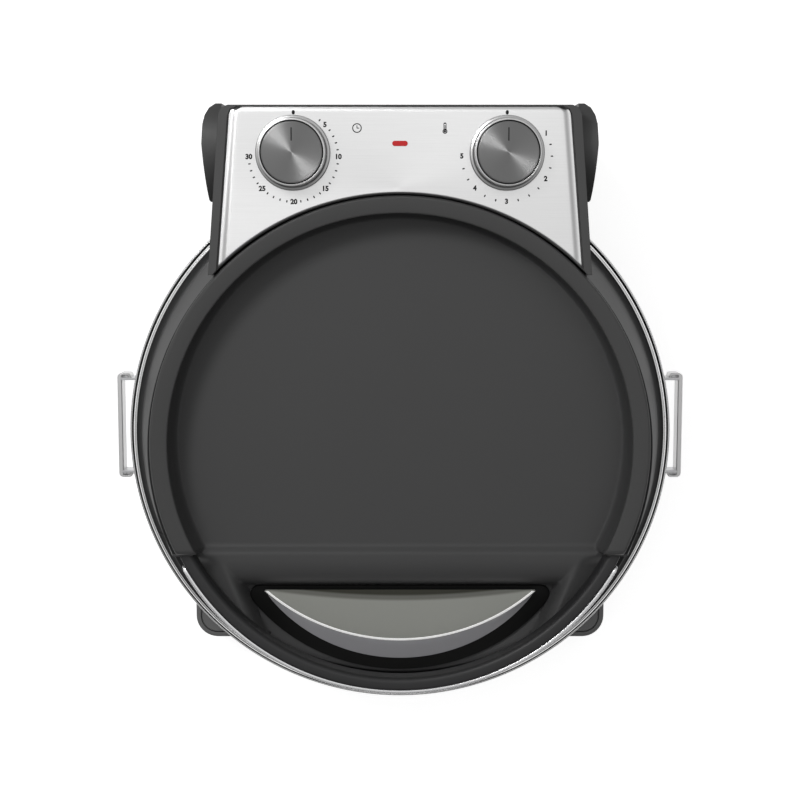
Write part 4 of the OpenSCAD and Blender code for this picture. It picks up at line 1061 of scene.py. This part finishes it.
def buildStrap():
    s = strap
    inX, inArm, end = s["outerX"] - s["thick"], s["armX"] + s["thin"], s["half"] - s["thin"]
    outer = rounded([(s["outerX"], 0, 0), (s["outerX"], s["half"], s["bend"]),
                     (s["armX"], s["half"], s["curl"]), (s["armX"], s["tipY"], 0)], 8)
    inner = rounded([(inX, 0, 0), (inX, end, s["innerBend"]), (inArm, end, s["curl"] - s["thin"]),
                     (inArm, s["tipY"], 0)], 8)
    z0, z1 = s["z0"], s["z1"]
    low, high = z0 + s["edge"], z1 - s["edge"]
    sections = []
    for (ox, oy), (ix, iy) in zip(outer, inner):
        b = s["edge"] / math.hypot(ix - ox, iy - oy)
        around = [(0, low), (0, high), (b, z1), (1 - b, z1), (1, high), (1, low), (1 - b, z0), (b, z0)]
        sections.append([(mix(ox, ix, t), mix(oy, iy, t), z) for t, z in around])
    back = [[(x, y + strapY, z) for x, y, z in row] for row in sections]
    front = [[(x, strapY - y, z) for x, y, z in row] for row in reversed(sections[1:])]
    return stack(front + back)


right = buildStrap()
for side, shape in (("right", right), ("left", mirrored(*right))):
    stands = ("side_handle_" + side,)
    piece("strap" + side.capitalize(), *shape, "base", handleChrome, "chrome_parts", stands, sharp=40)
print("stage: side handles")

# feet: rounded blocks with a grooved band on top
leg = {"size": 48.0, "corner": 15.5, "z0": 2.7, "z1": 41.2, "bandWidth": 3.3, "grooveWidth": 0.9,
       "grooveDepth": 2.0, "topZ": 42.6, "frontIn": 1.1, "frontBack": 1.8}


def buildLeg(x, y):
    s = leg
    h, r = s["size"] / 2, s["corner"]
    loop = rounded([(x - h, y - h, r), (x + h, y - h, r), (x + h, y + h, r), (x - h, y + h, r)], 10)
    z0, z1, band, inner = s["z0"], s["z1"], s["bandWidth"], s["bandWidth"] + s["grooveWidth"]
    return plate(loop, [(2.6, z0), (1.1, z0 + 0.35), (0.3, z0 + 1.3), (0.0, z0 + 2.8), (0.0, z1 - 1.2),
                        (0.35, z1 - 0.35), (1.2, z1), (band, z1 + 0.05), (band + 0.1, z1 - s["grooveDepth"]),
                        (inner, z1 - s["grooveDepth"]), (inner + 0.1, s["topZ"] - 0.8),
                        (inner + 0.6, s["topZ"])])


for end in ("front_left", "front_right", "rear_left", "rear_right"):
    low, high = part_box("leg_" + end)
    place = ((low.x + high.x) / 2 / mm, ((low.y + high.y) / 2 - rimY) / mm)
    if end.startswith("front"):
        place = (place[0] - math.copysign(leg["frontIn"], place[0]), place[1] + leg["frontBack"])
    piece("foot_" + end, *buildLeg(*place), "base", legPlastic, "leg_plastic", ("leg_" + end,), sharp=40)
print("stage: feet")

# floor: pale under the object, and bright to the camera and in reflections
ground = {"half": 6, "color": 0.82, "rough": 0.9, "specular": 0.1, "seen": 0.75}
h = ground["half"]
floorMesh = bpy.data.meshes.new("floor")
floorMesh.from_pydata([(-h, -h, 0), (h, -h, 0), (h, h, 0), (-h, h, 0)], [], [(0, 1, 2, 3)])
floor = bpy.data.objects.new("floor", floorMesh)
scene.collection.objects.link(floor)
floorLook, tree, shader = newLook("floorLook", specular=ground["specular"])
put, link = tree.nodes.new, tree.links.new
shader.inputs["Base Color"].default_value = (*grey(ground["color"]), 1)
shader.inputs["Roughness"].default_value = ground["rough"]
white = put("ShaderNodeEmission")
path = put("ShaderNodeLightPath")
seen = mathNode(put, link, "ADD", path.outputs["Is Camera Ray"], path.outputs["Is Glossy Ray"])
seen = mathNode(put, link, "ADD", seen, path.outputs["Is Transmission Ray"], clamp=True)
link(mathNode(put, link, "MULTIPLY", seen, ground["seen"]), white.inputs["Strength"])
both = put("ShaderNodeAddShader")
link(shader.outputs[0], both.inputs[0])
link(white.outputs[0], both.inputs[1])
link(both.outputs[0], tree.nodes["Material Output"].inputs["Surface"])
floorMesh.materials.append(floorLook)

# world: brightness at each height above the horizon, dimmer from the front, white to the camera
sky = {0.0: 0.08, 0.3: 0.13, 0.6: 0.30, 0.87: 0.70, 1.0: 0.78}
frontShade = {"from": -0.75, "to": 0.15, "share": 0.25}
world = bpy.data.worlds.new("studio")
scene.world = world
world.use_nodes = True
tree = world.node_tree
put, link = tree.nodes.new, tree.links.new
split = put("ShaderNodeSeparateXYZ")
link(put("ShaderNodeTexCoord").outputs["Generated"], split.inputs[0])
ramp = put("ShaderNodeValToRGB")
link(split.outputs["Z"], ramp.inputs[0])
ramp.color_ramp.elements.remove(ramp.color_ramp.elements[1])
for height, light in sky.items():
    stop = ramp.color_ramp.elements[0] if height == 0 else ramp.color_ramp.elements.new(height)
    stop.position = height
    stop.color = (*grey(light), 1)
soft = tree.nodes["Background"]
shade = softStep(put, link, split.outputs["Y"], frontShade["from"], frontShade["to"], frontShade["share"])
link(shade, soft.inputs["Strength"])
link(ramp.outputs[0], soft.inputs["Color"])
plain = put("ShaderNodeBackground")
plain.inputs["Color"].default_value = (*grey(1), 1)
blend = put("ShaderNodeMixShader")
link(put("ShaderNodeLightPath").outputs["Is Camera Ray"], blend.inputs[0])
link(soft.outputs[0], blend.inputs[1])
link(plain.outputs[0], blend.inputs[2])
link(blend.outputs[0], tree.nodes["World Output"].inputs["Surface"])

# softboxes in metres and watts, each turned to its target
softboxes = {
    "overhead": {"place": (0.0, 0.35, 2.1), "target": (0, 0.1, 0.1), "size": (1.5, 1.5), "power": 1.3,
                 "spread": 180},
    "backLeft": {"place": (-0.8, 0.85, 1.55), "target": (0, 0.15, 0.15), "size": (0.6, 0.35), "power": 3.5,
                 "spread": 180},
    "overKnobs": {"place": (-0.50, 0.64, 1.1), "target": (0.03, 0.17, 0.19), "size": (0.34, 0.3),
                  "power": 0.42, "spread": 60}}
for name, box in softboxes.items():
    data = bpy.data.lights.new(name, "AREA")
    data.shape = "RECTANGLE"
    data.size, data.size_y = box["size"]
    data.energy = box["power"]
    data.spread = math.radians(box["spread"])
    lamp = bpy.data.objects.new(name, data)
    scene.collection.objects.link(lamp)
    lamp.location = box["place"]
    aim = Vector(box["target"]) - Vector(box["place"])
    lamp.rotation_euler = aim.to_track_quat("-Z", "Y").to_euler()
    lamp.visible_camera = False

view = {"place": (0, 0.13631, 1.190), "tilt": -0.119, "lens": 72.83, "sensor": 36}  # metres, radians, mm
camera = bpy.data.cameras.new("camera")
cameraObject = bpy.data.objects.new("camera", camera)
scene.collection.objects.link(cameraObject)
cameraObject.location = view["place"]
cameraObject.rotation_euler = (view["tilt"], 0, 0)
camera.lens = view["lens"]
camera.sensor_width = view["sensor"]
scene.camera = cameraObject
scene.view_settings.view_transform = "Standard"
print("stage: light and camera")
